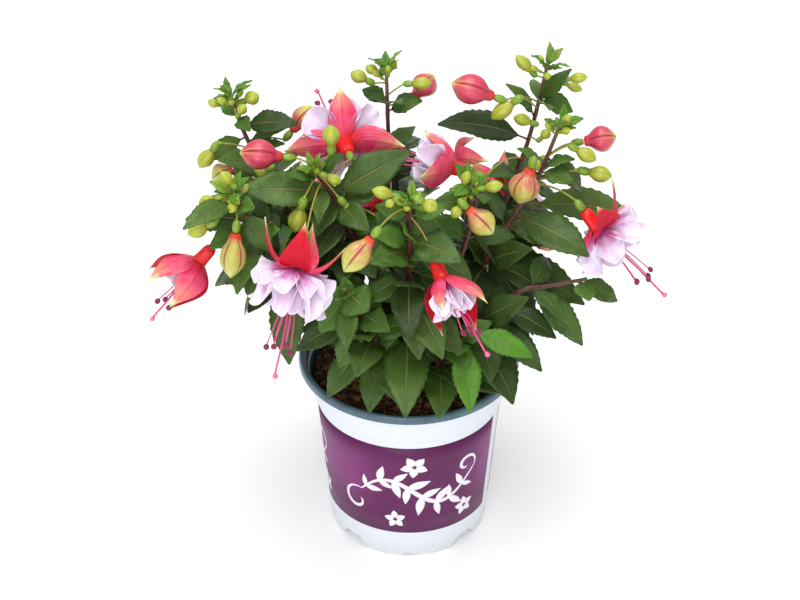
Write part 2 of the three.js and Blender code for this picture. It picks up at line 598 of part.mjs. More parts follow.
/** Point on a sepal, which is gently keeled along its middle. */
function sepalPoint(sepal, s, x, height) {
  const at = (t) => sepal.from.clone().multiplyScalar((1 - t) ** 2)
    .addScaledVector(sepal.over, 2 * t * (1 - t)).addScaledVector(sepal.to, t * t);
  const forward = unit(at(Math.min(1, s + 0.02)).sub(at(Math.max(0, s - 0.02))));
  const face = new THREE.Vector3().crossVectors(sepal.side, forward);
  const half = sepal.half * sepalOutline(s);
  return plus(plus(at(s), sepal.side, half * x), face, height - SEPAL_KEEL * half * Math.abs(x));
}

function sepalSolid(sepal) {
  const ring = (s) => [sepalPoint(sepal, s, -1, 0), sepalPoint(sepal, s, 1, 0),
    sepalPoint(sepal, s, 0, SEPAL_THICKNESS)];
  return loft([...SEPAL_STATIONS.map(ring), [sepalPoint(sepal, 1, 0, 0)]]);
}

function makeCalyx(frame) {
  const points = TUBE_STATIONS.map(([z]) => plus(frame.throat, frame.axis, z));
  const tube = loft(tubeRings(points, TUBE_STATIONS.map(([, radius]) => radius), 5));
  return fuse([tube, ...frame.sepals.map((offset) => sepalSolid(sepalFrame(frame, offset)))]);
}

/** The petals of a bloom: row 0 outside, row 1 inside, each with its own turn and size. */
function petalList(frame) {
  const list = [];
  frame.petals.forEach((count, row) => {
    for (let k = 0; k < count; k += 1) {
      list.push({
        angle: (2 * Math.PI * (k + 0.5 * row)) / count + 0.3,
        length: frame.length * (row === 0 ? 1 - 0.06 * (k % 2) : frame.inner),
        start: radians(Math.min(60, frame.flare + 24) - (row === 0 ? 0 : 8)),
        flare: radians(frame.flare * (row === 0 ? 1 - 0.12 * (k % 2) : 0.45)),
        half: frame.length * (row === 0 ? 1.9 : 1.3) / count,
        room: 0.86 * Math.tan(Math.PI / count),
        from: row === 0 ? 1.2 : 3,
        count,
        row,
        phase: 1.3 * k + row,
      });
    }
  });
  return list;
}

/** Point and normal on a petal that curves out from the axis and is ruffled at its edge. */
function petalPoint(frame, petal, s, x) {
  const out = radial(frame, petal.angle);
  const across = radial(frame, petal.angle + Math.PI / 2);
  const steps = 6;
  let ahead = petal.from;
  let outward = DISC_RADIUS;
  for (let i = 0; i < steps; i += 1) {
    const part = Math.min(1, Math.max(0, s * steps - i)) / steps;
    const bend = petal.start + (petal.flare - petal.start) * ((i + 0.5) / steps);
    ahead += petal.length * part * Math.cos(bend);
    outward += petal.length * part * Math.sin(bend);
  }
  const bend = petal.start + (petal.flare - petal.start) * s;
  const spread = petal.half * Math.sin(Math.PI * 0.5 * Math.min(1, 0.1 + 1.1 * s));
  const half = Math.min(spread, petal.room * outward);
  const ruffle = 0.07 * petal.length * s * s * Math.sin(4.2 * x + petal.phase);
  const normal = plus(out.clone().multiplyScalar(Math.cos(bend)), frame.axis, -Math.sin(bend));
  const along = ahead - 0.12 * petal.length * x * x * s;
  const point = plus(plus(plus(frame.throat, frame.axis, along), out, outward), across, half * x);
  return { point: plus(point, normal, ruffle - 0.16 * half * x * x), normal };
}

/** Where a petal joins the disc that its row grows from. */
function petalRoot(frame, petal, x) {
  const out = radial(frame, petal.angle + (x * Math.PI) / petal.count);
  const point = plus(plus(frame.throat, frame.axis, petal.from), out, DISC_RADIUS);
  return { point, normal: frame.axis.clone().negate() };
}

function petalGrid(frame, petal) {
  const columns = [-1, 0, 1];
  const isOpen = petal.row === 0 && frame.petals[1] > 0;
  return [columns.map((x) => petalRoot(frame, petal, x)),
    ...(isOpen ? [0.3, 0.66, 1] : [0.5, 1]).map((s) => columns.map((x) => petalPoint(frame, petal, s, x)))];
}

const coreTop = (frame) => (frame.petals[1] > 0 ? CORE.double : CORE.single);

function makeCorolla(frame) {
  const petals = petalList(frame);
  const rows = [0, 1].map((row) => petals.filter((petal) => petal.row === row));
  const discs = rows.filter((list) => list.length > 0)
    .map((list) => whorl(list.map((petal) => petalGrid(frame, petal)), PETAL_THICKNESS));
  const ends = [CLEARANCE, coreTop(frame)].map((z) => plus(frame.throat, frame.axis, z));
  return fuse([loft(tubeRings(ends, [CORE.radius, CORE.radius], 4)), ...discs]);
}

/** The filaments, spread beyond the petals, and last the longer style. */
function filamentLines(frame) {
  const start = plus(frame.throat, frame.axis, coreTop(frame) + CLEARANCE);
  const lines = [];
  for (let k = 0; k <= frame.filaments; k += 1) {
    const isStyle = k === frame.filaments;
    const lean = vec(frame.lean).multiplyScalar(isStyle ? 1 : FILAMENT.leanShare);
    const out = radial(frame, (2 * Math.PI * k) / frame.filaments + 0.5);
    const reach = frame.reach * (isStyle ? FILAMENT.styleReach : 0.9 + 0.05 * (k % 3));
    const from = plus(plus(start, frame.axis, 0.6), out, isStyle ? 0 : 0.9);
    const to = plus(plus(frame.throat, frame.axis, reach), out, isStyle ? 0 : 0.15 * reach).add(lean);
    lines.push({ from, to, isStyle });
  }
  return lines;
}

function makeStamens(frame) {
  const start = plus(frame.throat, frame.axis, coreTop(frame) + CLEARANCE);
  const ends = [start, plus(start, frame.axis, HUB.length)];
  const hub = loft(tubeRings(ends, [HUB.footRadius, HUB.radius], 5));
  const parts = filamentLines(frame).map(({ from, to, isStyle }) => {
    const forward = unit(to.clone().sub(from));
    const head = isStyle ? FILAMENT.stigma : FILAMENT.anther;
    const points = [from, to, plus(to, forward, FILAMENT.head * 0.46), plus(to, forward, FILAMENT.head)];
    return loft(tubeRings(points, [FILAMENT.radius, FILAMENT.radius, head, 0], 3));
  });
  return fuse([hub, ...parts]);
}

// ---------------------------------------------------------------- putting it together
const shootParts = {};
for (const [name, { marks }] of Object.entries(SHOOTS)) {
  shootParts[name] = [shootSolid(marks)];
  const fractions = Array.from({ length: 41 }, (_, i) => i / 40);
  take(fractions.map((t) => along(marks, t)), 1.6, name, "line");
}

/** Fuse a thin curved piece to a shoot and keep others off it. */
function addToShoot(name, { points, radii }) {
  shootParts[name].push(loft(tubeRings(points, radii, STALK.sides)));
  for (let i = 0; i + 1 < points.length; i += 1) {
    const steps = Math.ceil(points[i].distanceTo(points[i + 1]) / 3);
    const reach = Math.max(radii[i], radii[i + 1]);
    for (let k = 0; k < steps; k += 1) {
      take([points[i].clone().lerp(points[i + 1], k / steps)], reach, name, "stalk");
    }
  }
}

const nodes = [];
const addNode = (name, body, color) => nodes.push({ name, body, color });

/** Keep leaves off a bloom's tube, sepals, petals and stamens. */
function takeBloom(frame) {
  const claim = (points, reach) => take(points, reach, frame.name, "flower");
  claim([-12, -9, -6, -3, 0, 3].map((z) => plus(frame.throat, frame.axis, z)), 3);
  for (const offset of frame.sepals) {
    const sepal = sepalFrame(frame, offset);
    for (const s of [0.2, 0.32, 0.44, 0.56, 0.68, 0.8, 0.92, 1]) {
      claim([-0.8, 0, 0.8].map((x) => sepalPoint(sepal, s, x, 0)), 0.8);
    }
  }
  for (const petal of petalList(frame)) {
    for (const s of [0.3, 0.45, 0.6, 0.75, 0.88, 1]) {
      claim([-1, -0.5, 0, 0.5, 1].map((x) => petalPoint(frame, petal, s, x).point), 0.8);
    }
  }
  for (const { from, to } of filamentLines(frame)) {
    for (let k = 0; k <= 16; k += 1) claim([from.clone().lerp(to, k / 16)], 0.6);
    claim([plus(to, frame.axis, 2)], 1);
  }
}

for (const bloom of BLOOMS) {
  const frame = bloomFrame(bloom);
  const neck = plus(frame.throat, frame.axis, -TUBE_LENGTH);
  addToShoot(bloom.shoot, ovaryStalk(along(SHOOTS[bloom.shoot].marks, bloom.at), neck, frame.axis));
  addNode(`${bloom.name}_calyx`, makeCalyx(frame), 0xe8304e);
  addNode(`${bloom.name}_corolla`, makeCorolla(frame), 0xefe2f6);
  addNode(`${bloom.name}_stamens`, makeStamens(frame), 0xd04080);
  takeBloom(frame);
}

COLOUR_BUDS.forEach(([shoot, at, neck, tip, radius], index) => {
  const forward = unit(vec(tip).sub(vec(neck)));
  addToShoot(shoot, ovaryStalk(along(SHOOTS[shoot].marks, at), vec(neck), forward));
  const bud = colourBud(vec(neck), vec(tip), radius);
  addNode(`bud_${index + 1}`, loft(tubeRings(bud.points, bud.radii, 6)), 0xe05068);
  bud.points.forEach((point, i) => take([point], Math.max(1, bud.radii[i]), `bud_${index + 1}`, "flower"));
});

for (const [shoot, buds] of Object.entries(GREEN_BUDS)) {
  for (const [at, neck, tip, radius] of buds) {
    addToShoot(shoot, greenBud(along(SHOOTS[shoot].marks, at), vec(neck), vec(tip), radius));
  }
}

// A leaf whose place is taken moves along this line, or is made smaller.
const SHIFT_LINE = vec([0, 0.82, -0.57]);
const SHIFTS = [0, -5, 5, -10, 10, -16, 16, -22, 22];
const SIZES = [1, 0.84, 0.7];

/** Fuse a leaf to its shoot if it clears everything else. */
function tryLeaf(shoot, root, tip, width, facing) {
  const leaf = leafFrame(root, tip, width, facing);
  const probes = leafProbes(leaf);
  if (!isClear(probes, shoot)) return false;
  take(probes, LEAF_REACH, shoot, "leaf");
  shootParts[shoot].push(leafSolid(leaf));
  return true;
}

for (const [shoot, leaves] of Object.entries(LEAVES)) {
  for (const [at, x, y, z, width] of leaves) {
    const root = along(SHOOTS[shoot].marks, at);
    SIZES.some((size) => SHIFTS.some((shift) => {
      const tip = root.clone().lerp(plus(vec([x, y, z]), SHIFT_LINE, shift), size);
      return tryLeaf(shoot, root, tip, width * size, SEEN_FACE);
    }));
  }
}

/** Try to grow one leaf from a shoot, swung and pitched until it has room. */
function growLeaf(shoot, marks, at, turn, size) {
  const root = along(marks, at);
  const forward = heading(marks, at);
  const side = sideOf(forward);
  const other = new THREE.Vector3().crossVectors(forward, side);
  return FILL.sizes.some((scale) => FILL.swings.some((swing) => FILL.pitches.some((pitch) => {
    const angle = turn + radians(swing);
    const out = side.clone().multiplyScalar(Math.cos(angle)).addScaledVector(other, Math.sin(angle));
    const rise = radians(pitch);
    const way = unit(out.multiplyScalar(Math.cos(rise)).addScaledVector(forward, Math.sin(rise)));
    const length = size * scale;
    const tip = plus(root, way, length).add(vec([0, 0, -FILL.droop * length]));
    const lowest = Math.hypot(tip.x, tip.y) < FILL.rim ? FILL.overRim : FILL.besideRim;
    return tip.z >= lowest && tryLeaf(shoot, root, tip, length * FILL.width, FILL_FACE);
  })));
}

/** Leaf pairs up a shoot, each pair turned a quarter from the one below. */
function fillShoot(shoot, { marks, pairs }, random) {
  for (let pair = 0; pair < pairs; pair += 1) {
    const at = blend(FILL.from, FILL.to, (pair + 0.5) / pairs);
    const turn = (pair * Math.PI) / 2 + 0.5 * random();
    const size = blend(FILL.low, FILL.high, at ** 1.4) * (0.85 + 0.3 * random());
    growLeaf(shoot, marks, at, turn, size);
    growLeaf(shoot, marks, at, turn + Math.PI, size);
  }
}

Object.entries(SHOOTS).forEach(([shoot, growth], index) => {
  fillShoot(shoot, growth, stream(101 + 37 * index));
});

addNode("pot", makePot(), 0xf4f7fc);
addNode("soil", makeSoil(Object.values(SHOOTS).map(({ marks }) => shootHole(marks))), 0x3a241a);
for (const [name, pieces] of Object.entries(shootParts)) addNode(`shoot_${name}`, fuse(pieces), 0x3f6b35);

/** A mesh from a solid, flat shaded. */
function meshFrom({ name, body, color }) {
  const { numProp, vertProperties, triVerts } = body.getMesh();
  const positions = new Float32Array((vertProperties.length / numProp) * 3);
  for (let i = 0; i < positions.length / 3; i += 1) {
    positions.set(vertProperties.subarray(i * numProp, i * numProp + 3), i * 3);
  }
  const geometry = new THREE.BufferGeometry();
  geometry.setAttribute("position", new THREE.BufferAttribute(positions, 3));
  geometry.setIndex(new THREE.BufferAttribute(new Uint32Array(triVerts), 1));
  geometry.computeVertexNormals();
  const mesh = new THREE.Mesh(geometry, new THREE.MeshStandardMaterial({ color, flatShading: true }));
  mesh.name = name;
  return mesh;
}

const group = new THREE.Group();
for (const node of nodes) group.add(meshFrom(node));
export default group;
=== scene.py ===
"""Dresses a potted fuchsia: its pot, soil, leafy shoots, buds and hanging blooms.

The plant is laid out in millimetres, +Z up, about the pot's axis, with the front at -Y.
Finished pieces are in metres.
"""
import math

import bmesh
import bpy
import numpy as np
from bpy.props import FloatProperty, FloatVectorProperty, PointerProperty
from mathutils import Matrix, Vector, noise


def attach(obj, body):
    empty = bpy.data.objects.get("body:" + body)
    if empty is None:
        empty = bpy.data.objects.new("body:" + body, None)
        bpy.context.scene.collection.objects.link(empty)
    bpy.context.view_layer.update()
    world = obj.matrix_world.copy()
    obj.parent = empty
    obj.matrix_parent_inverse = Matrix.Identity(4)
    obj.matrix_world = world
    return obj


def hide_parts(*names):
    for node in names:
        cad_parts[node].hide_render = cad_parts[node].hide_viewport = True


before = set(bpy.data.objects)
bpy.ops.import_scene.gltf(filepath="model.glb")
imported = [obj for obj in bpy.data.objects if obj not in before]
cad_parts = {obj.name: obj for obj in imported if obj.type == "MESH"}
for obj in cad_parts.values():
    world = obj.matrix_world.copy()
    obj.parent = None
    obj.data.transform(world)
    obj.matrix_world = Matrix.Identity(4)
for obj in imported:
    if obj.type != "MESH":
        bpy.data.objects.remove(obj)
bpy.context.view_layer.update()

bl_info = {
    "name": "Potted fuchsia",
    "version": (1, 0, 0),
    "blender": (4, 5, 0),
    "location": "View3D > Sidebar > Fuchsia",
    "description": "Builds a fuchsia in a nursery pot, with its leaves, buds and blooms",
    "category": "Add Mesh",
}

MM = 0.001

# ------------------------------------------------------------------ the plant's layout
CLEARANCE = 0.3
WALL = [(42.6, 0), (43.8, 8), (50.5, 84), (52.4, 86.5), (54.4, 102.4)]
LIP = [(54.4, 102.4), (59.2, 103.6), (60, 105), (59.4, 107.6), (57.8, 108.2), (55.6, 106.4)]
INNER_WALL = [(55.6, 106.4), (51.2, 87), (49.3, 84.4), (42.4, 8.7)]
SKIRT_INNER_RADIUS = 41.1
FLOOR_UNDERSIDE = 7.5
FLOOR_TOP = 8.7
FEET = 4
ARCH = {"height": 7, "top": 5, "foot": 10.5}
NOTCH = {"height": 1.5, "top": 3, "foot": 3}
CUT = {"from": 26, "to": 48, "below": 1}
DRAIN = {"radius": 3.2, "from_axis": 27, "middle": 8, "depth": 4}
# Where the coloured plastic of the inside and the lip begins, and the angle that looks sharp.
LIP_COLOUR = {"from": 102.7, "inside_from": 8.9, "inside_radius": 59}
SHARP_DEGREES = 28
WALL_STEPS = 192
LIP_STEPS = 30

# The printed film: its heights, where it begins and how far it goes round in degrees, and how far
# it and its ink stand off the wall.
LABEL = {"low": 18, "high": 80.5, "right": 66, "round": 346, "proud": 0.12, "ink_proud": 0.1,
         "film": 0.08, "ink": 0.06}
DEGREES_PER_MM = 1.17
SPRAY_TURNS = (7, -109, -221)
# Pairs of leaves on a spray; place, turn, size and way of its curls; across, height and size of
# its flowers.
SPRAY_PAIRS = 8
SPRAY_CURLS = ((0.0, 1.2, 9.5, 1), (1.0, -0.6, 7.0, 1))
SPRAY_FLOWERS = ((-3, 67, 7.0), (-14, 28, 5.6), (29, 30, 5.8))
FLOWER_PETALS = 5

SOIL = {"radius": 52, "level": 98, "top_from": 96, "waves": 0.7, "rough": 1.1, "wall": 54}
SOIL_PROFILE = [(0, 9), (42, 9), (48.8, 84.5), (50.7, 87), (52, 96.2)]
# The soil's height without its unevenness, from the axis to the wall.
SOIL_CROWN = [(0, 99.8), (18, 99.8), (34, 98.7), (48, 97.6), (52, 96.2)]
SOIL_RINGS = 34
SOIL_STEPS = 128
CRUMBS = {"count": 1700, "pale": 46, "reach": 51.5, "pale_radius": 0.5, "flat": 0.75, "rough": 0.35}
FIBRES = {"count": 260, "reach": 49, "inside": 51, "radii": (0.12, 0.2, 0.24, 0.22, 0.18, 0.1)}

LEAF_FOLD = 0.14
LEAF_ARCH = 0.07
EDGE_WAVE = 0.5
# Where a leaf's face turns: leaves seen from the front lean to it, the others to their own side.
SEEN_FACE = {"outward": 0.3, "to_front": 0.5, "up": 0.75}
FILL_FACE = {"outward": 0.5, "to_front": 0.2, "up": 0.8}
PETIOLE = {"share": 0.15, "half_width": 0.55}
TUBE_LENGTH = 12
DISC_RADIUS = 1.6
OVARY_LENGTH = 7
# Shares of a green bud's radius, and how far along it is widest.
GREEN_BUD = {"ovary": 1.4, "foot": 0.45, "neck": 0.6, "widest": 0.42}
STALK = {"radius": 0.6, "lift": 0.22}
OVARY_STALK_RADII = (0.6, 0.6, 0.9, 2.2, 1.6)
SEPAL_WIDTH = 0.25
CORE = {"single": 1.6, "double": 3.4}
STYLE_REACH = 1.3
LEAN_SHARE = 0.5

# Leaf pairs that fill a shoot, and the marks it grows through from its foot to its tip.
SHOOTS = {
    "upper_left": (3, [(-12, 4, 88), (-34, 10, 144), (-63, 18, 185), (-85, 30, 224), (-94, 35, 250)]),
    "centre_left": (2, [(-5, -1, 88), (-18, -6, 153), (-35, -8, 204), (-45, -8, 223), (-49, -8, 231)]),
    "left": (2, [(-12, -4, 88), (-42, -12, 150), (-70, -18, 187), (-86, -24, 215), (-91, -25, 228)]),
    "top": (3, [(-1, 5, 88), (-5, 16, 151), (-9, 34, 197), (-11, 42, 222), (-12, 50, 256)]),
    "front": (2, [(0, -12, 88), (-1, -34, 160), (0, -42, 198), (0, -41, 220), (1, -40, 232)]),
    "upper_right": (3, [(11, 6, 88), (38, 16, 162), (53, 28, 192), (64, 38, 222), (73, 44, 264)]),
    "right": (2, [(13, 0, 88), (40, 1, 165), (57, 8, 194), (68, 14, 212), (79, 18, 242)]),
    "centre_right": (3, [(3, -3, 88), (11, -15, 139), (26, -20, 181), (34, -18, 214), (32, -18, 228)]),
    "low_right": (1, [(12, -7, 88), (35, -20, 140), (58, -20, 162), (72, -18, 164), (94, -14, 166)]),
    "low_front_right": (1, [(6, -12, 88), (18, -30, 125), (26, -40, 146), (34, -46, 158)]),
    "low_front_left": (1, [(-7, -11, 88), (-12, -30, 124), (-22, -42, 156), (-34, -46, 182)]),
    "back_left": (4, [(-8, 11, 88), (-28, 34, 136), (-52, 44, 168), (-70, 50, 186)]),
    "back_right": (4, [(7, 11, 88), (28, 34, 136), (48, 44, 168), (66, 50, 190)]),
    "back": (4, [(-1, 14, 88), (-2, 42, 138), (-6, 60, 166), (-10, 66, 176)]),
}

# Leaves seen from the front: place along the shoot, tip x, y, z and full width.
LEAVES = {
    "upper_left": [(0.82, -59, 38, 230, 14), (0.77, -107, 22, 218, 12), (0.63, -98, 8, 227, 18),
                   (0.75, -64, 30, 234, 8), (0.72, -66, 24, 227, 7)],
    "centre_left": [(0.61, -88, -22, 228, 20), (0.6, 0, -2, 238, 20), (0.69, -47, -30, 212, 9),
                    (0.56, -21, -28, 206, 14)],
    "left": [(0.85, -114, -40, 216, 13), (0.75, -71, -44, 204, 14), (0.65, -104, -36, 201, 13),
             (0.42, -64, -42, 130, 19)],
    "top": [(0.84, 10, 42, 244, 17), (0.88, -25, 52, 244, 10)],
    "front": [(0.58, 33, -43, 186, 18), (0.36, 17, -76, 160, 20), (0.18, -2, -88, 133, 23)],
    "upper_right": [(0.74, 16, 26, 239, 20), (0.88, 87, 40, 237, 13), (0.82, 52, 38, 255, 9),
                    (0.87, 84, 44, 259, 9), (0.59, 52, 30, 217, 10), (0.25, 94, -8, 147, 24),
                    (0.28, 53, 0, 172, 18)],
    "right": [(0.78, 86, 4, 215, 12), (0.85, 93, 12, 204, 12), (0.48, 94, -10, 179, 22),
              (0.55, 124, 28, 179, 20), (0.25, 63, -16, 187, 16)],
    "centre_right": [(0.78, 13, -42, 234, 12)],
    "low_right": [(0.3, 70, -46, 130, 17), (0.38, 78, -32, 141, 14), (0.59, 93, -22, 129, 16),
                  (0.27, 61, -36, 169, 16), (0.93, 112, -14, 152, 12), (0.96, 95, -22, 158, 14)],
    "low_front_right": [(0.29, 16, -72, 119, 18), (0.54, 29, -62, 142, 14), (0.71, 32, -74, 123, 15),
                        (0.88, 65, -52, 143, 13)],
    "low_front_left": [(0.98, -21, -56, 175, 20), (0.93, -47, -52, 159, 16),
                       (0.55, -27, -68, 144, 18), (0.44, -21, -64, 116, 16),
                       (0.72, -37, -60, 141, 14), (0.77, -60, -38, 137, 14)],
}

# Small green buds: place along the shoot, neck, tip and greatest radius.
GREEN_BUDS = {
    "upper_left": [(0.97, (-100, 36, 243), (-106, 35, 246), 2.6),
                   (0.95, (-86, 37, 245), (-79, 36, 249), 3.9),
                   (0.93, (-89, 29, 242), (-86, 28, 248), 2.7),
                   (0.72, (-104, 24, 222), (-111, 23, 212), 4.2),
                   (0.7, (-75, 14, 216), (-83, 13, 212), 3.5)],
    "centre_left": [(0.97, (-40, -13, 249), (-40, -14, 261), 4.3),
                    (0.95, (-42, -14, 230), (-35, -15, 227), 3),
                    (0.9, (-33, -16, 214), (-26, -17, 206), 3.8),
                    (0.88, (-56, -20, 214), (-60, -21, 200), 4.7)],
    "left": [(0.97, (-91, -27, 234), (-96, -28, 242), 3),
             (0.96, (-100, -29, 226), (-108, -30, 224), 3.2),
             (0.93, (-89, -33, 226), (-92, -34, 221), 2.7),
             (0.85, (-104, -34, 213), (-114, -35, 208), 4.3)],
    "top": [(0.95, (-23, 50, 250), (-31, 49, 255), 3.7), (0.98, (-17, 53, 253), (-23, 52, 257), 2.8),
            (0.9, (2, 46, 250), (12, 45, 251), 3.5), (0.98, (-10, 54, 254), (-7, 53, 260), 2.3)],
    "front": [(0.95, (-9, -44, 238), (-19, -45, 242), 3.4),
              (0.9, (-8, -52, 240), (-12, -53, 237), 2.3),
              (0.95, (7, -47, 236), (14, -48, 232), 3.9)],
    "upper_right": [(0.95, (64, 44, 259), (56, 43, 269), 3.3),
                    (0.93, (85, 44, 254), (94, 43, 256), 3),
                    (0.9, (84, 50, 247), (92, 49, 244), 2.6),
                    (0.85, (54, 26, 250), (43, 25, 241), 4.3),
                    (0.8, (64, 33, 234), (55, 32, 238), 3.3),
                    (0.75, (70, 26, 229), (74, 25, 234), 2.7)],
    "right": [(0.97, (80, 19, 241), (84, 18, 248), 2.4), (0.85, (88, 12, 230), (98, 11, 224), 3.9),
              (0.72, (95, 14, 215), (107, 13, 213), 4.5), (0.75, (64, 6, 221), (68, 5, 228), 2.6)],
    "centre_right": [(0.95, (39, -22, 228), (48, -23, 231), 3.2),
                     (0.97, (28, -21, 230), (30, -23, 239), 2.6),
                     (0.97, (26, -30, 222), (22, -33, 217), 3.2)],
    "back_left": [(0.97, (-72, 53, 190), (-78, 57, 193), 3.3)],
    "back_right": [(0.97, (70, 55, 193), (76, 59, 197), 3.3)],
    "back": [(0.95, (-12, 71, 181), (-15, 76, 185), 3.3)],
}

# Swollen buds: shoot, place on it, neck, tip, greatest radius and how far it has turned pink.
COLOUR_BUDS = [
    ("centre_left", 0.97, (-66, 2, 232), (-88, 0, 236), 8.2, 1.0),
    ("upper_right", 0.87, (44, 26, 254), (22, 25, 263), 8.2, 0.95),
    ("top", 0.86, (3, 54, 237), (13, 57, 249), 7, 0.9),
    ("right", 0.85, (92, 22, 229), (109, 22, 232), 7.2, 0.85),
    ("right", 0.66, (63, -3, 228), (57, -7, 209), 8, 0.42),
    ("centre_right", 0.8, (30, -32, 222), (43, -37, 210), 7.3, 0.4),
    ("front", 0.9, (-19, -66, 227), (-33, -73, 211), 7.3, 0.38),
    ("centre_left", 0.55, (-11, -20, 198), (-7, -25, 181), 8, 0.8),
    ("upper_left", 0.75, (-62, 36, 227), (-51, 40, 240), 6, 0.55),
    ("left", 0.85, (-89, -38, 211), (-92, -45, 188), 6.6, 0.25),
    ("upper_left", 0.6, (-94, 30, 207), (-105, 26, 203), 6.4, 0.4),
    ("back_right", 0.72, (70, 52, 158), (78, 46, 143), 6.6, 0.8),
]

# Blooms: shoot and place the stalk leaves it, throat, the way the flower opens, sepal tips
# from the throat, petals in the outer and inner row, petal length, the inner row's share of it,
# flare, filament reach, lean. Where share and lean aren't given, the rule's hold.
BLOOM_RULE = dict(inner=0.84, lean=(0, 0, 0))
BLOOMS = [
    dict(name="bloom_top_left", shoot="centre_left", at=0.7, throat=(-34, 16, 232),
         axis=(-20, 96, -8), sepals=[(-2, 10, 28), (-32, -4, -3), (32, -4, 0), (0, 7, -18)],
         petals=(5, 4), length=22, flare=60, reach=34, lean=(-6, 4, 6), filaments=4),
    dict(name="bloom_top_centre", shoot="upper_right", at=0.66, throat=(22, 2, 226),
         axis=(-80, 12, 22), sepals=[(-15, 4, 19), (12, 22, 4), (20, 13, -5), (-17, -24, 9)],
         petals=(5, 0), length=17, flare=20, reach=30, lean=(0, 0, -8), filaments=4),
    dict(name="bloom_left", shoot="left", at=0.92, throat=(-111, -20, 180),
         axis=(-68, -35, -64), sepals=[(-27, 9, -10), (-25, -13, -2), (-14, -20, -14), (-16, -4, -27)],
         petals=(5, 0), length=14, flare=8, reach=26, lean=(0, -2, -3), filaments=3),
    dict(name="bloom_front_left", shoot="centre_left", at=0.75, throat=(-57, -58, 204),
         axis=(-26, -42, -86), sepals=[(5, -1, 28), (-16, 8, 25), (25, 2, 10), (8, 13, 18)],
         petals=(7, 5), length=25, inner=1.24, flare=54, reach=42, lean=(3, -2, -2), filaments=6),
    dict(name="bloom_front", shoot="front", at=0.8, throat=(17, -62, 198),
         axis=(35, -66, -66), sepals=[(0, -17, -6), (0, -13, -25), (22, -20, 0), (17, -12, -23)],
         petals=(5, 0), length=18, flare=10, reach=26, lean=(10, -2, -5), filaments=4),
    dict(name="bloom_right", shoot="right", at=0.7, throat=(99, -4, 192),
         axis=(62, -20, -76), sepals=[(7, 6, 26), (-2, -18, 25), (-17, -3, -14), (16, 26, -2)],
         petals=(6, 3), length=25, flare=40, reach=38, lean=(5, 0, 2), filaments=5),
    dict(name="bloom_centre", shoot="top", at=0.62, throat=(-17, 8, 196),
         axis=(-40, 40, -82), sepals=[(-12, 8, -3), (14, 10, 2), (0, 2, 16), (0, 18, -14)],
         petals=(5, 0), length=16, flare=16, reach=24, filaments=3),
    dict(name="bloom_centre_left", shoot="upper_left", at=0.55, throat=(-39, 30, 180),
         axis=(14, 16, -94), sepals=[(12, -6, 16), (-16, -6, 10), (2, 16, 4), (-4, -16, -8)],
         petals=(5, 0), length=16, flare=26, reach=21, filaments=3),
    dict(name="bloom_back_left", shoot="back_left", at=0.7, throat=(-59, 66, 165),
         axis=(-15, 34, -90), sepals=[(-19, 4, 14), (18, 6, 13), (0, 19, 12), (-2, -18, 12)],
         petals=(5, 3), length=24, flare=44, reach=36, lean=(0, 2, 0), filaments=4),
    dict(name="bloom_back_right", shoot="back_right", at=0.8, throat=(52, 65, 174),
         axis=(20, 32, -90), sepals=[(-18, 6, 13), (19, 4, 12), (1, 19, 12), (-9, -14, 14)],
         petals=(5, 3), length=24, flare=40, reach=36, lean=(0, 2, 0), filaments=4),
]

# Leaf pairs that fill each shoot: first and last place, length low and high on it, width and
# droop as shares of the length, the least tip height over and beside the rim, and what is tried.
FILL = dict(start=0.2, end=1, low=42, high=16, width=0.48, droop=0.22, rim=66, over_rim=112,
            beside_rim=104, sizes=(1, 0.75, 0.55), swings=(0, 25, -25, 50, -50), pitches=(30, 55, 5))
SHIFT_LINE = np.array([0, 0.82, -0.57])
SHIFTS = (0, -5, 5, -10, 10, -16, 16, -22, 22)
SIZES = (1, 0.84, 0.7)

# Space kept round a leaf: its own reach, the gap to its own shoot's pieces and to all others.
LEAF_REACH = 1.5
OWN_GAP = 0.9
GAP = 1.5
CELL = 9
SHOOT_REACH = 1.6
SHOOT_PROBES = 40

# First seed of each kind of draws, and the steps to the next shoot's and the next layer's.
SEEDS = {"fill": (101, 37, 0), "extra": (4001, 31, 97), "tuft": (9001, 53, 0), "tone": (601, 41, 0),
         "soil": (811, 0, 0)}

# ------------------------------------------------------------------ the dress over the layout
# Layers of leaves between the solids' own: as the rule above, and let nearer to other pieces.
EXTRA = [
    dict(FILL, start=0.22, end=0.85, low=42, high=30, width=0.5, droop=0.35, sizes=(1, 0.85, 0.7),
         swings=(45, 70, 20, -20, 95), pitches=(20, 45, -10, 65), gap=-0.6),
    dict(FILL, start=0.3, end=1.0, low=36, high=22, width=0.52, droop=0.5, sizes=(1, 0.8, 0.62),
         swings=(10, -35, 60, -75, 110), pitches=(0, 30, -30, 60), gap=-0.9),
    dict(FILL, start=0.2, end=0.98, low=30, high=16, width=0.5, droop=0.2, sizes=(1, 0.75),
         swings=(30, -30, 80, -80, 130), pitches=(35, 5, 65), gap=-0.9),
]
EXTRA_PAIRS = 3
EXTRA_LOWEST = {"over_rim": 128, "beside_rim": 116}
EXTRA_CEILING = 214
# Shoots that light shines through: only the first layer grows on them, and only this far up.
OPEN_SHOOTS = ("upper_right", "right", "low_right", "centre_right", "low_front_right")
OPEN_FROM = 0.3
# Where along a shoot leaves of the later layers would lie in a stack, and the ages they have.
STACKED = {"centre_left": (0.46, 0.52)}
STACKED_AGES = (0.25, 0.45)
TUFT = {"leaves": 8, "length": 11.5, "width": 0.42, "buds": 4, "bud_radius": 1.7}
# Where the tips of the two fresh leaves low on the right are, and how near one has to be.
FRESH_TIPS = [(32, -74, 123), (65, -52, 143)]
FRESH_REACH = 13
FRESH_YOUTH = 0.85
# The heart of the plant and its reach across, deep and high: leaves near it are given painted shade.
HEART = (0, 0, 160)
HEART_REACH = (118, 88, 100)

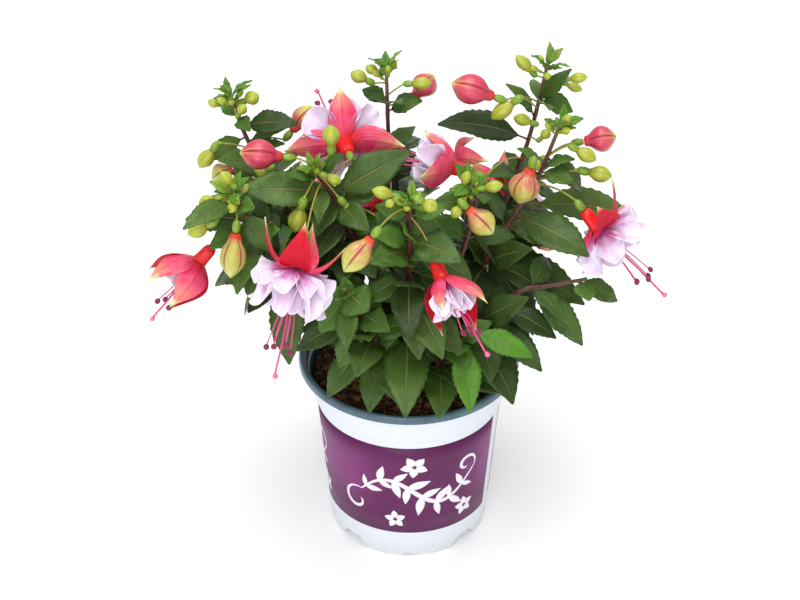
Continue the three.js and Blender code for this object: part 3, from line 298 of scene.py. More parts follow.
# Columns and rows of a long and of a short leaf's blade, and the length that parts them.
LONG_BLADE = (6, 22)
SHORT_BLADE = (4, 10)
LONG_FROM = 26
TEETH = (0.06, -0.03)
LEAF_THICKNESS = 0.45
PETIOLE_RADII = (0.62, 0.55, 0.5, 0.5, 0.3)
SHOOT_RADII = (1.85, 0.95)
SHOOT_STEPS = 36

# Pieces turned about a line: shares of the line, or millimetres along it, and radii.
OVARY = [(0, 0.5), (0.06, 1.1), (0.18, 1.75), (0.36, 2.15), (0.56, 2.25), (0.76, 2.05), (0.9, 1.7),
         (1, 1.45)]
GREEN_BUD_OVARY = [(0, 0.28), (0.06, 0.42), (0.25, 0.52), (0.55, 0.55), (0.85, 0.47), (1, 0.4)]
GREEN_BUD_BODY = [(0, 0.4), (0.04, 0.52), (0.12, 0.64), (0.24, 0.85), (0.38, 0.98), (0.5, 1),
                  (0.64, 0.93), (0.78, 0.72), (0.89, 0.44), (0.96, 0.2), (1, 0)]
BUD_NECK = [(0, 2.0), (0.03, 2.7), (0.09, 3.05), (0.16, 3.2)]
BUD_BODY = [(0.29, 0.74), (0.37, 0.89), (0.47, 0.98), (0.56, 1), (0.66, 0.95), (0.76, 0.81),
            (0.84, 0.6), (0.91, 0.38), (0.96, 0.2), (0.99, 0.08), (1, 0)]
TUBE = [(-12, 1.9), (-11.7, 2.5), (-11, 3.05), (-9.6, 3.55), (-7.5, 3.75), (-5, 3.8), (-2.5, 4.05),
        (-0.8, 4.45), (0.1, 4.5), (0.3, 4.1), (-0.1, 3.5), (-0.8, 2.4), (-1, 0)]
STAMEN_FOOT = [(0, 1.1), (0.4, 1.35), (1.2, 1.2)]
STIGMA = [(-0.4, 0.5), (0.1, 1.0), (0.9, 1.45), (1.7, 1.4), (2.3, 0.9), (2.6, 0)]
ANTHER = [(-0.4, 0.35), (0, 1.0), (0.9, 1.4), (1.8, 1.35), (2.5, 0.9), (2.9, 0)]

# How much broader than the solid's the sepals are, as a rule and of the fuller blooms.
SEPAL_FULLNESS = {"bloom_left": 1.3, "bloom_front": 1.2, "bloom_top_centre": 1.3,
                  "bloom_front_left": 1.2, "bloom_right": 1.35}
SEPAL_RULE = 1.1
SEPAL_THICKNESS = 0.75
SEPAL_BASE = 3.3
# How long and how widely spread a bloom's petals are, as shares of the solid's.
PETAL_SIZE = {"bloom_front_left": 0.88, "bloom_top_centre": 1.3, "bloom_top_left": 1.06,
              "bloom_left": 1.2, "bloom_front": 1.1}
PETAL_SPREAD = {"bloom_front_left": 0.9}
# How far the petals of each row overlap, and how round and ruffled their ends are.
PETAL_OVERLAP = (1.42, 1.36, 1.2)
PETAL_END = {"ruffles": 0.09, "rounding": 0.42}
PETAL_THICKNESS = 0.35

# Lights: name, place in metres and share of the key light's power.
LIGHTS = (("key", (-0.05, -0.15, 1.5), 1), ("front fill", (-0.25, -1.5, 0.85), 0.85),
          ("back fill", (0.3, 1.5, 0.9), 0.26))
LIGHT_SIZE = 1.0
LIGHT_TARGET = (0, 0, 0.14)
CAMERA_AIM = (-4.8, 0, 142.6)
CAMERA_RISE = 35
CAMERA_SENSOR = 36
CAMERA_CLIP = (0.05, 30)
FLOOR_HALF = 6


# ---------------------------------------------------------------- small arithmetic
def vec(*numbers):
    return np.array(numbers, float)


def unit(vector):
    return vector / math.sqrt(vector @ vector)


def mix(start, end, share):
    return start + (end - start) * share


def norm(vector):
    return math.sqrt(vector @ vector)


def stream(seed):
    """A repeatable stream of numbers between 0 and 1."""
    state = seed

    def draw():
        nonlocal state
        state = (state * 16807) % 2147483647
        return state / 2147483647
    return draw


def seeded(kind, shoot=0, layer=0):
    """The stream of draws of one kind for one shoot and layer."""
    first, shoot_step, layer_step = SEEDS[kind]
    return stream(first + shoot_step * shoot + layer_step * layer)


def side_of(direction):
    """A direction at right angles to another, always chosen the same way."""
    guide = vec(1, 0, 0) if abs(direction[2]) > 0.9 else vec(0, 0, 1)
    return unit(np.cross(direction, guide))


def along(marks, fraction):
    """Point at a fraction of the smooth line through marks."""
    last = len(marks) - 1
    index = min(math.floor(fraction * last), last - 1)
    w = fraction * last - index
    p1 = vec(*marks[index])
    p2 = vec(*marks[index + 1])
    p0 = vec(*marks[index - 1]) if index > 0 else p1 - (p2 - p1)
    p3 = vec(*marks[index + 2]) if index + 2 <= last else p2 + (p2 - p1)
    start = (p2 - p0) * 0.5
    end = (p3 - p1) * 0.5
    return (p1 * (2 * w ** 3 - 3 * w * w + 1) + p2 * (3 * w * w - 2 * w ** 3)
            + start * (w ** 3 - 2 * w * w + w) + end * (w ** 3 - w * w))


def heading(marks, fraction):
    """Direction of growth at a fraction of a line through marks."""
    return unit(along(marks, min(1, fraction + 0.01)) - along(marks, max(0, fraction - 0.01)))


def curve(start, over, end, count):
    """Points along a quadratic curve, its first and last included."""
    return [start * (1 - t) ** 2 + over * (2 * t * (1 - t)) + end * t * t
            for t in (i / count for i in range(count + 1))]


# ------------------------------------------------------------------ leaves as shapes
def leaf_outline(s):
    """Share of the half width at fractions of a leaf's length."""
    t = np.clip((s - PETIOLE["share"]) / (1 - PETIOLE["share"]), 0, 1)
    return np.where(s < PETIOLE["share"], 0, np.sin(np.pi * t ** 0.8).clip(0) ** 0.85)


def leaf_frame(root, tip, width, facing):
    """A leaf's own frame: root, line, side and face."""
    line = tip - root
    length = norm(line)
    forward = line / length
    hint = unit(vec(tip[0], tip[1], 0)) * facing["outward"] + vec(0, -facing["to_front"], facing["up"])
    face = unit(hint - forward * (hint @ forward))
    return dict(root=root, line=line, length=length, face=face, side=np.cross(forward, face),
                half=width / 2)


def leaf_points(leaf, s, x, height=0.0, teeth=0.0):
    """Points on a leaf: fraction of length, share of half width, height over the blade."""
    outline = leaf_outline(s)
    half = np.maximum(PETIOLE["half_width"], leaf["half"] * outline) * (1 + teeth)
    wave = EDGE_WAVE * abs(x) * outline * np.sin(s * 19 + x)
    lift = LEAF_ARCH * leaf["length"] * 4 * s * (1 - s) + LEAF_FOLD * half * abs(x) + wave + height
    return (leaf["root"] + np.outer(s, leaf["line"]) + np.outer(lift, leaf["face"])
            + np.outer(half * x, leaf["side"]))


def leaf_probes(leaf):
    """Points spread over a leaf, close enough together to find anything that crosses it."""
    rows = max(3, math.ceil(leaf["length"] / 3))
    columns = max(1, math.ceil(leaf["half"] / 3))
    s = np.repeat([0.08 + (0.92 * r) / rows for r in range(1, rows + 1)], 2 * columns + 1)
    x = np.tile([c / columns for c in range(-columns, columns + 1)], rows)
    return leaf_points(leaf, s, x)


# ------------------------------------------------------------------ blooms as shapes
def bloom_frame(bloom):
    axis = unit(vec(*bloom["axis"]))
    side = side_of(axis)
    return {**BLOOM_RULE, **bloom, "throat": vec(*bloom["throat"]), "axis": axis, "side": side,
            "other": np.cross(axis, side)}


def radial(bloom, angle):
    return bloom["side"] * math.cos(angle) + bloom["other"] * math.sin(angle)


def sepal_frame(bloom, offset):
    """A sepal as a curve in the plane of the bloom's axis, with its side direction."""
    tip = vec(*offset)
    length = norm(tip)
    axis = bloom["axis"]
    outward = unit(tip - axis * (tip @ axis))
    clasp = max(0, tip @ axis) / length
    over = bloom["throat"] + outward * (0.42 + 0.16 * clasp) * length + axis * 0.12 * length
    return dict(start=bloom["throat"] - axis * 1.6 + outward * 3.1, over=over,
                end=bloom["throat"] + tip, side=np.cross(axis, outward), half=SEPAL_WIDTH * length)


def sepal_outline(s):
    return mix(0.26, 1, np.sin(np.pi * s ** 0.9).clip(0) ** 0.8) * (1 - s ** 5)


def sepal_points(sepal, s, x, height):
    """Points on a sepal, which is gently keeled along its middle."""
    def at(t):
        return (np.outer((1 - t) ** 2, sepal["start"]) + np.outer(2 * t * (1 - t), sepal["over"])
                + np.outer(t * t, sepal["end"]))
    ahead = at(np.minimum(1, s + 0.02)) - at(np.maximum(0, s - 0.02))
    face = np.cross(sepal["side"], ahead / np.linalg.norm(ahead, axis=1)[:, None])
    half = sepal["half"] * sepal_outline(s)
    rise = height - 0.22 * half * abs(x)
    return at(s) + np.outer(half * x, sepal["side"]) + face * rise[:, None]


def petal_list(bloom):
    """The petals of a bloom: row 0 outside, row 1 inside, each with its own turn and size."""
    petals = []
    for row, count in enumerate(bloom["petals"]):
        for k in range(count):
            outer = row == 0
            alternate = k % 2
            petals.append(dict(
                angle=(2 * math.pi * (k + 0.5 * row)) / count + 0.3,
                length=bloom["length"] * (1 - 0.06 * alternate if outer else bloom["inner"]),
                start=math.radians(min(60, bloom["flare"] + 24) - (0 if outer else 8)),
                flare=math.radians(bloom["flare"] * (1 - 0.12 * alternate if outer else 0.45)),
                half=bloom["length"] * (1.9 if outer else 1.3) / count,
                room=0.86 * math.tan(math.pi / count), base=1.2 if outer else 3,
                row=row, phase=1.3 * k + row))
    return petals


def petal_points(bloom, petal, s, x, overlap=1.0, ruffles=0.07, rounding=0.0):
    """Points on a petal that curves out from the axis and is ruffled at its edge."""
    steps = 6
    start, flare, length = petal["start"], petal["flare"], petal["length"]
    ahead = np.full_like(s, petal["base"])
    outward = np.full_like(s, DISC_RADIUS)
    for i in range(steps):
        part = np.clip(s * steps - i, 0, 1) / steps
        bend = start + (flare - start) * ((i + 0.5) / steps)
        ahead += length * part * math.cos(bend)
        outward += length * part * math.sin(bend)
    bend = start + (flare - start) * s
    spread = petal["half"] * np.sin(np.pi * 0.5 * np.minimum(1, 0.1 + 1.1 * s)) * overlap
    half = np.minimum(spread, petal["room"] * outward * overlap)
    ruffle = ruffles * length * s * s * np.sin(4.2 * x + petal["phase"])
    rise = ruffle - 0.16 * half * x * x
    out = radial(bloom, petal["angle"])
    across = radial(bloom, petal["angle"] + math.pi / 2)
    depth = ahead - length * s * (0.12 * x * x + rounding * abs(x) ** 2.6)
    normal = np.outer(np.cos(bend), out) - np.outer(np.sin(bend), bloom["axis"])
    return (bloom["throat"] + np.outer(depth, bloom["axis"]) + np.outer(outward, out)
            + np.outer(half * x, across) + normal * rise[:, None])


def filament_lines(bloom):
    """The filaments, spread beyond the petals, and last the longer style."""
    core = CORE["double"] if bloom["petals"][1] else CORE["single"]
    start = bloom["throat"] + bloom["axis"] * (core + CLEARANCE)
    lines = []
    for k in range(bloom["filaments"] + 1):
        is_style = k == bloom["filaments"]
        out = radial(bloom, (2 * math.pi * k) / bloom["filaments"] + 0.5)
        reach = bloom["reach"] * (STYLE_REACH if is_style else 0.9 + 0.05 * (k % 3))
        begin = start + bloom["axis"] * 0.6 + out * (0 if is_style else 0.9)
        end = bloom["throat"] + bloom["axis"] * reach + out * (0 if is_style else 0.15 * reach)
        lines.append((begin, end + vec(*bloom["lean"]) * (1 if is_style else LEAN_SHARE), is_style))
    return lines


# ------------------------------------------------------------- keeping pieces apart
class Room:
    """The space that lines, stalks, leaves and flowers already take, kept in cells."""

    def __init__(self):
        self.cells = {}
        self.owners = {}

    def take(self, points, reach, owner, is_line=False):
        number = self.owners.setdefault(owner, len(self.owners))
        for x, y, z in points:
            key = (math.floor(x / CELL), math.floor(y / CELL), math.floor(z / CELL))
            self.cells.setdefault(key, []).append((x, y, z, reach, number, float(is_line)))

    def near(self, low, high):
        """Everything in the cells round a box, one row each."""
        spans = [range(math.floor(a / CELL) - 1, math.floor(b / CELL) + 2) for a, b in zip(low, high)]
        found = [ball for i in spans[0] for j in spans[1] for k in spans[2]
                 for ball in self.cells.get((i, j, k), ())]
        return np.array(found) if found else None

    def is_clear(self, probes, owner, gap=GAP):
        """True if no probe of a new leaf comes too near what is already there."""
        balls = self.near(probes.min(0), probes.max(0))
        if balls is None:
            return True
        own = balls[:, 4] == self.owners.get(owner, -1)
        reach = balls[:, 3] + np.where(own, OWN_GAP, gap + LEAF_REACH)
        touches = np.linalg.norm(probes[:, None] - balls[None, :, :3], axis=2) < reach
        steps = np.abs(np.floor(probes[:, None] / CELL) - np.floor(balls[None, :, :3] / CELL))
        past_root = np.arange(len(probes))[:, None] >= len(probes) / 3
        counts = ~own[None, :] | ((balls[:, 5] == 0)[None, :] & past_root)
        return not (touches & counts & (steps.max(2) <= 1)).any()


# ------------------------------------------------------------------------- growth
class Plant:
    """Every stalk, bud and leaf in its place, in the order in which they claim room."""

    def __init__(self):
        self.room = Room()
        self.ovaries = {name: [] for name in SHOOTS}
        self.buds = []
        self.leaves = {name: [] for name in SHOOTS}
        self.blooms = [bloom_frame(bloom) for bloom in BLOOMS]
        for name, (_, marks) in SHOOTS.items():
            line = [along(marks, i / SHOOT_PROBES) for i in range(SHOOT_PROBES + 1)]
            self.room.take(line, SHOOT_REACH, name, is_line=True)
        self.hang_blooms()
        self.hang_buds()
        self.hang_green_buds()
        self.grow_seen_leaves()
        for index, (name, (pairs, marks)) in enumerate(SHOOTS.items()):
            self.fill(name, marks, pairs, seeded("fill", index), FILL)

    def stalk(self, shoot, points, radii):
        """Keep leaves off a stalk."""
        for i in range(len(points) - 1):
            steps = math.ceil(norm(points[i + 1] - points[i]) / 3)
            spread = [mix(points[i], points[i + 1], k / steps) for k in range(steps)]
            self.room.take(spread, max(radii[i], radii[i + 1]), shoot)

    def ovary_stalk(self, shoot, at, neck, forward):
        """Stalk from a shoot to the green ovary that stops short of a flower's neck."""
        root = along(SHOOTS[shoot][1], at)
        top = neck - forward * CLEARANCE
        foot = top - forward * OVARY_LENGTH
        over = mix(root, foot, 0.5) + vec(0, 0, STALK["lift"] * norm(foot - root))
        points = [*curve(root, over, foot, 2), top - forward * OVARY_LENGTH * 0.5, top]
        self.stalk(shoot, points, OVARY_STALK_RADII)
        self.ovaries[shoot].append((root, over, foot, top, forward))

    def hang_blooms(self):
        for bloom in self.blooms:
            neck = bloom["throat"] - bloom["axis"] * TUBE_LENGTH
            self.ovary_stalk(bloom["shoot"], bloom["at"], neck, bloom["axis"])
            self.claim_bloom(bloom)

    def claim_bloom(self, bloom):
        """Keep leaves off a bloom's tube, sepals, petals and stamens."""
        def claim(points, reach):
            self.room.take(points, reach, bloom["name"])
        claim([bloom["throat"] + bloom["axis"] * z for z in (-12, -9, -6, -3, 0, 3)], 3)
        for offset in bloom["sepals"]:
            s = np.repeat([0.2, 0.32, 0.44, 0.56, 0.68, 0.8, 0.92, 1], 3)
            x = np.tile([-0.8, 0, 0.8], 8)
            claim(sepal_points(sepal_frame(bloom, offset), s, x, 0.0), 0.8)
        for petal in petal_list(bloom):
            s = np.repeat([0.3, 0.45, 0.6, 0.75, 0.88, 1], 5)
            x = np.tile([-1, -0.5, 0, 0.5, 1], 6)
            claim(petal_points(bloom, petal, s, x), 0.8)
        for start, end, _ in filament_lines(bloom):
            claim([mix(start, end, k / 16) for k in range(17)], 0.6)
            claim([end + bloom["axis"] * 2], 1)

    def hang_buds(self):
        for index, (shoot, at, neck, tip, radius, _) in enumerate(COLOUR_BUDS):
            neck, tip = vec(*neck), vec(*tip)
            self.ovary_stalk(shoot, at, neck, unit(tip - neck))
            radii = (2.6, 3.2, 0.95 * radius, 0.87 * radius, 0)
            for share, thick in zip((0, 0.2, 0.44, 0.72, 1), radii):
                self.room.take([mix(neck, tip, share)], max(1, thick), f"bud_{index + 1}")

    def hang_green_buds(self):
        for shoot, buds in GREEN_BUDS.items():
            for at, neck, tip, radius in buds:
                root = along(SHOOTS[shoot][1], at)
                neck, tip = vec(*neck), vec(*tip)
                foot = neck - unit(tip - neck) * GREEN_BUD["ovary"] * radius
                points = [root, foot, neck, mix(neck, tip, GREEN_BUD["widest"]), tip]
                radii = [STALK["radius"], GREEN_BUD["foot"] * radius, GREEN_BUD["neck"] * radius,
                         radius, 0]
                self.stalk(shoot, points, radii)
                self.buds.append((shoot, root, foot, neck, tip, radius))

    def try_leaf(self, shoot, at, tip, width, facing, gap=GAP, age=0.5):
        """Keep a leaf if it clears everything else."""
        root = along(SHOOTS[shoot][1], at)
        leaf = leaf_frame(root, tip, width, facing)
        probes = leaf_probes(leaf)
        if not self.room.is_clear(probes, shoot, gap):
            return False
        self.room.take(probes, LEAF_REACH, shoot)
        self.leaves[shoot].append(dict(leaf, at=at, age=age))
        return True

    def grow_seen_leaves(self):
        for shoot, leaves in LEAVES.items():
            for at, x, y, z, width in leaves:
                root = along(SHOOTS[shoot][1], at)
                any(self.try_leaf(shoot, at, mix(root, vec(x, y, z) + SHIFT_LINE * shift, size),
                                  width * size, SEEN_FACE)
                    for size in SIZES for shift in SHIFTS)

    def grow_leaf(self, shoot, marks, at, turn, size, rule, age=0.5):
        """Try to grow one leaf, swung and pitched until it has room."""
        root = along(marks, at)
        forward = heading(marks, at)
        side = side_of(forward)
        other = np.cross(forward, side)
        for scale in rule["sizes"]:
            for swing in rule["swings"]:
                for pitch in rule["pitches"]:
                    angle = turn + math.radians(swing)
                    rise = math.radians(pitch)
                    out = side * math.cos(angle) + other * math.sin(angle)
                    way = unit(out * math.cos(rise) + forward * math.sin(rise))
                    length = size * scale
                    tip = root + way * length + vec(0, 0, -rule["droop"] * length)
                    lowest = rule["over_rim"] if math.hypot(tip[0], tip[1]) < rule["rim"] \
                        else rule["beside_rim"]
                    if tip[2] >= lowest and self.try_leaf(shoot, at, tip, length * rule["width"],
                                                          FILL_FACE, rule.get("gap", GAP), age):
                        return True
        return False

    def fill(self, shoot, marks, pairs, random, rule, age=0.5):
        """Leaf pairs up a shoot, each pair turned a quarter from the one below."""
        for pair in range(pairs):
            at = mix(rule["start"], rule["end"], (pair + 0.5) / pairs)
            turn = (pair * math.pi) / 2 + 0.5 * random()
            size = mix(rule["low"], rule["high"], at ** 1.4) * (0.85 + 0.3 * random())
            self.grow_leaf(shoot, marks, at, turn, size, rule, age)
            self.grow_leaf(shoot, marks, at, turn + math.pi, size, rule, age)


PLANT = Plant()


# ---------------------------------------------------------------- meshes in the making
class Shape:
    """A mesh in the making: sheets and pipes with a UV map and values painted on them."""

    def __init__(self, *names):
        self.bm = bmesh.new()
        self.uv = self.bm.loops.layers.uv.new("UVMap")
        self.values = {name: self.bm.verts.layers.float.new(name) for name in names}

    def sheet(self, columns, rows, place, material=0, **values):
        """A grid laid where a function of u (-1 to 1, across) and v (0 to 1, along) says."""
        verts = bmesh.ops.create_grid(self.bm, x_segments=columns, y_segments=rows, size=1)["verts"]
        spots = np.array([vert.co for vert in verts])
        u, v = spots[:, 0], (spots[:, 1] + 1) / 2
        painted = {name: np.broadcast_to(value(v) if callable(value) else value, len(v))
                   for name, value in values.items()}
        for i, (vert, point) in enumerate(zip(verts, place(u, v) * MM)):
            vert.co = point
            for name, amounts in painted.items():
                vert[self.values[name]] = amounts[i]
            for loop in vert.link_loops:
                loop[self.uv].uv = ((u[i] + 1) / 2, v[i])
                loop.face.material_index = material
        return verts

    def pipe(self, points, radii, sides, lobes=(0, 0), material=0, **values):
        """A closed tube round a line of points, turned as little as possible along it."""
        points, radii = [vec(*p) for p in points], list(radii)
        if radii[0] > 0:
            points, radii = [points[0], *points], [0, *radii]
        if radii[-1] > 0:
            points, radii = [*points, points[-1]], [*radii, 0]
        last = len(points) - 1
        line, sizes = np.array(points), np.array(radii, float)
        ahead, across = [], []
        for i in range(last + 1):
            step = points[min(i + 2, last) if i == 0 else min(i + 1, last)] - points[max(i - 1, 0)]
            ahead.append(unit(step) if norm(step) > 1e-9 else ahead[-1])
            across.append(unit(across[-1] - ahead[i] * (across[-1] @ ahead[i])) if across
                          else side_of(ahead[i]))
        across = np.array(across)
        other = np.cross(np.array(ahead), across)

        def place(u, v):
            i = np.rint(v * last).astype(int)
            angle = np.pi * u
            size = sizes[i] * (1 + lobes[1] * np.cos(lobes[0] * angle))
            return (line[i] + across[i] * (size * np.cos(angle))[:, None]
                    + other[i] * (size * np.sin(angle))[:, None])
        verts = self.sheet(sides, last, place, material, **values)
        bmesh.ops.remove_doubles(self.bm, verts=verts, dist=1e-6)

    def crumb(self, place, radius, material):
        """A small rounded crumb, a little flat."""
        made = bmesh.ops.create_icosphere(self.bm, subdivisions=1, radius=radius * MM)["verts"]
        for vert in made:
            vert.co = vec(vert.co.x, vert.co.y, vert.co.z * CRUMBS["flat"]) + place * MM
            for loop in vert.link_loops:
                loop.face.material_index = material

    def turned(self, start, line, marks, sides, size=1.0, **options):
        """A closed tube along a straight line: marks give shares of the line and radii."""
        self.pipe([start + line * share for share, _ in marks],
                  [size * radius for _, radius in marks], sides, **options)

    def piece(self, name, materials, nodes, slot):
        return finished(self.bm, name, materials, nodes)


def object_from(name, bm):
    """A bare object that takes over a mesh in the making."""
    mesh = bpy.data.meshes.new(name)
    bm.to_mesh(mesh)
    bm.free()
    made = bpy.data.objects.new(name, mesh)
    bpy.context.scene.collection.objects.link(made)
    return made


def finished(bm, name, materials, nodes):
    """The finished smooth object, riding on the plant and standing for CAD nodes."""
    for face in bm.faces:
        face.smooth = True
    bm.normal_update()
    made = object_from(name, bm)
    for material in materials:
        made.data.materials.append(material)
    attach(made, "root")
    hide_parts(*nodes)
    return made


def thicken(piece, thickness, offset, other_side=0):
    """Give an open sheet its thickness, with the far face in the next material if wanted."""
    solid = piece.modifiers.new("Thickness", "SOLIDIFY")
    solid.thickness = thickness
    solid.offset = offset
    solid.use_even_offset = False
    solid.material_offset = other_side


def soften(piece):
    """Round a piece by one subdivision."""
    rounding = piece.modifiers.new("Rounding", "SUBSURF")
    rounding.levels = rounding.render_levels = 1


# ---------------------------------------------------------------------------- finishes
def srgb(code, alpha=1.0):
    """A colour as Blender keeps it, from its usual six figures."""
    parts = [int(code[i:i + 2], 16) / 255 for i in (1, 3, 5)]
    return (*(c / 12.92 if c <= 0.04045 else ((c + 0.055) / 1.055) ** 2.4 for c in parts), alpha)


class Nodes:
    """Adds nodes to one tree, and links or sets their sockets."""

    def __init__(self, tree):
        self.tree = tree

    def feed(self, socket, value):
        if isinstance(value, bpy.types.NodeSocket):
            self.tree.links.new(value, socket)
        elif socket.type == "RGBA" and len(value) == 3:
            socket.default_value = (*value, 1)
        else:
            socket.default_value = value

    def add(self, kind, inputs=None, **settings):
        node = self.tree.nodes.new(kind)
        for name, value in settings.items():
            setattr(node, name, value)
        for name, value in (inputs or {}).items():
            self.feed(node.inputs[name], value)
        return node

    def math(self, operation, *values, clamp=False):
        node = self.add("ShaderNodeMath", operation=operation, use_clamp=clamp)
        for socket, value in zip(node.inputs, values):
            self.feed(socket, value)
        return node.outputs[0]

    def ramp(self, value, low, high, start=0.0, end=1.0):
        """A value eased from start to end as another goes from low to high."""
        node = self.add("ShaderNodeMapRange", interpolation_type="SMOOTHSTEP",
                        inputs={"Value": value, "From Min": low, "From Max": high,
                                "To Min": start, "To Max": end})
        return node.outputs["Result"]

    def blend(self, factor, first, second, kind="MIX"):
        node = self.add("ShaderNodeMix", data_type="RGBA", blend_type=kind)
        for index, value in ((0, factor), (6, first), (7, second)):
            self.feed(node.inputs[index], value)
        return node.outputs[2]

    def painted(self, name):
        return self.add("ShaderNodeAttribute", attribute_name=name).outputs["Fac"]

    def uv(self):
        """Across and along, each from 0 to 1."""
        return self.parts(self.add("ShaderNodeUVMap").outputs["UV"])[:2]

    def height(self):
        """Metres above the ground."""
        return self.parts(self.add("ShaderNodeTexCoord").outputs["Object"])[2]

    def parts(self, vector):
        return list(self.add("ShaderNodeSeparateXYZ", {"Vector": vector}).outputs)

    def group(self, tree, **inputs):
        node = self.add("ShaderNodeGroup", node_tree=tree)
        for name, value in inputs.items():
            self.feed(node.inputs[name], value)
        return node.outputs[0]

    def mottled(self, size, detail, contrast=1.0):
        return self.group(mottle(), Size=size, Detail=detail, Contrast=contrast)

    def times(self, first, second, clamp=False):
        return self.math("MULTIPLY", first, second, clamp=clamp)

    def scaled(self, value, factor, offset, clamp=False):
        return self.math("MULTIPLY_ADD", value, factor, offset, clamp=clamp)

    def from_middle(self, across):
        """0 along the middle of a sheet, 1 at its two edges."""
        return self.math("ABSOLUTE", self.scaled(across, 2, -1))

    def ridge(self, phase):
        """1 midway between whole numbers, falling to 0 at each."""
        apart = self.math("ABSOLUTE", self.math("SUBTRACT", self.math("FRACT", phase), 0.5))
        return self.times(apart, 2)


class Finish(Nodes):
    """One material: its nodes and the shader they feed."""

    def __init__(self, name, **constants):
        self.material = bpy.data.materials.new(name)
        self.material.use_nodes = True
        super().__init__(self.material.node_tree)
        self.shader = self.tree.nodes["Principled BSDF"]
        for socket, value in constants.items():
            self.feed(self.shader.inputs[socket.replace("_", " ")], value)

    def done(self, colour, roughness, height=None, distance=0.2, strength=1.0):
        """Feed the shader: colour, roughness and the height of the relief in millimetres."""
        self.feed(self.shader.inputs["Base Color"], colour)
        self.feed(self.shader.inputs["Roughness"], roughness)
        if height is not None:
            bump = self.add("ShaderNodeBump", {"Height": height, "Distance": distance * MM,
                                               "Strength": strength})
            self.feed(self.shader.inputs["Normal"], bump.outputs["Normal"])
        return self.material


def shared_group(name, inputs):
    """Makes a shader group with named numbers in and one value out, and makes it only once."""
    def shared(build):
        def group():
            if name in bpy.data.node_groups:
                return bpy.data.node_groups[name]
            tree = bpy.data.node_groups.new(name, "ShaderNodeTree")
            sockets = tree.interface
            for title, value in inputs.items():
                socket = sockets.new_socket(title, in_out="INPUT", socket_type="NodeSocketFloat")
                socket.default_value = value
            sockets.new_socket("Value", in_out="OUTPUT", socket_type="NodeSocketFloat")
            nodes = Nodes(tree)
            source = nodes.add("NodeGroupInput")
            sink = nodes.add("NodeGroupOutput")
            nodes.feed(sink.inputs["Value"], build(nodes, source.outputs))
            return tree
        return group
    return shared


@shared_group("Mottle", {"Size": 5.0, "Detail": 2.0, "Contrast": 1.0})
def mottle(nodes, given):
    """Soft blotches from 0 to 1: size in millimetres, fine detail and contrast."""
    spot = nodes.add("ShaderNodeTexCoord").outputs["Object"]
    noise_node = nodes.add("ShaderNodeTexNoise", {
        "Vector": spot, "Scale": nodes.math("DIVIDE", 1 / MM, given["Size"]),
        "Detail": given["Detail"], "Roughness": 0.55})
    spread = nodes.times(nodes.math("SUBTRACT", noise_node.outputs["Fac"], 0.5), given["Contrast"])
    return nodes.math("ADD", nodes.times(spread, 2), 0.5, clamp=True)


@shared_group("Leaf veins", {"Pairs": 7.0, "Slant": 0.16, "Width": 0.16})
def leaf_veins(nodes, given):
    """Midrib and side veins of a leaf, 1 on a vein: pairs of veins, their slant and width."""
    across, length = nodes.uv()
    side = nodes.from_middle(across)
    lag = nodes.times(nodes.math("POWER", side, 1.25), given["Slant"])
    near = nodes.ridge(nodes.times(nodes.math("SUBTRACT", length, lag), given["Pairs"]))
    lateral = nodes.ramp(near, nodes.math("SUBTRACT", 1, given["Width"]), 1)
    faded = nodes.times(lateral, nodes.ramp(side, 0.95, 0.35, 0, 0.38))
    rib = nodes.ramp(side, nodes.times(given["Width"], 0.75), 0.02)
    return nodes.math("MAXIMUM", rib, faded)


@shared_group("Long veins", {"Lines": 11.0, "Waver": 0.5, "Width": 0.4})
def long_veins(nodes, given):
    """Fine veins that run from base to tip of a petal or sepal, 1 on a vein."""
    across, length = nodes.uv()
    wander = nodes.mottled(4.0, 1.0)
    shift = nodes.times(nodes.math("SUBTRACT", wander, 0.5), given["Waver"])
    near = nodes.ridge(nodes.math("ADD", nodes.times(across, given["Lines"]), shift))
    line = nodes.ramp(near, nodes.math("SUBTRACT", 1, given["Width"]), 1)
    return nodes.times(line, nodes.ramp(length, 1.0, 0.15))


def pot_plastic(look):
    """Thin white plastic, faintly marbled by the mould, with a little dust low down."""
    f = Finish("Pot plastic", Subsurface_Weight=0.08, Subsurface_Scale=0.002, Coat_Weight=0.1)
    cloud = f.mottled(26.0, 3.0, 0.8)
    grain = f.mottled(0.5, 1.0, 0.7)
    dust = f.times(f.ramp(f.height(), 0.012, 0.0, 0, 0.35), f.mottled(3.0, 4.0))
    shade = f.blend(f.times(cloud, 0.35), look.plastic, srgb("#E3EAF2"))
    colour = f.blend(dust, shade, srgb("#B9AE9E"))
    return f.done(colour, f.scaled(cloud, 0.12, 0.3), grain, 0.03)


def lip_plastic(look):
    """The coloured inside of the pot and its rolled lip."""
    f = Finish("Lip plastic", Coat_Weight=0.25, Coat_Roughness=0.15)
    cloud = f.mottled(9.0, 3.0)
    smear = f.mottled(2.0, 4.0, 1.2)
    shade = f.blend(f.times(cloud, 0.6), look.lip, srgb("#5F7F8C"))
    return f.done(f.blend(f.times(smear, 0.18), shade, srgb("#2C3A40")),
                  f.scaled(smear, 0.2, 0.24), smear, 0.05)


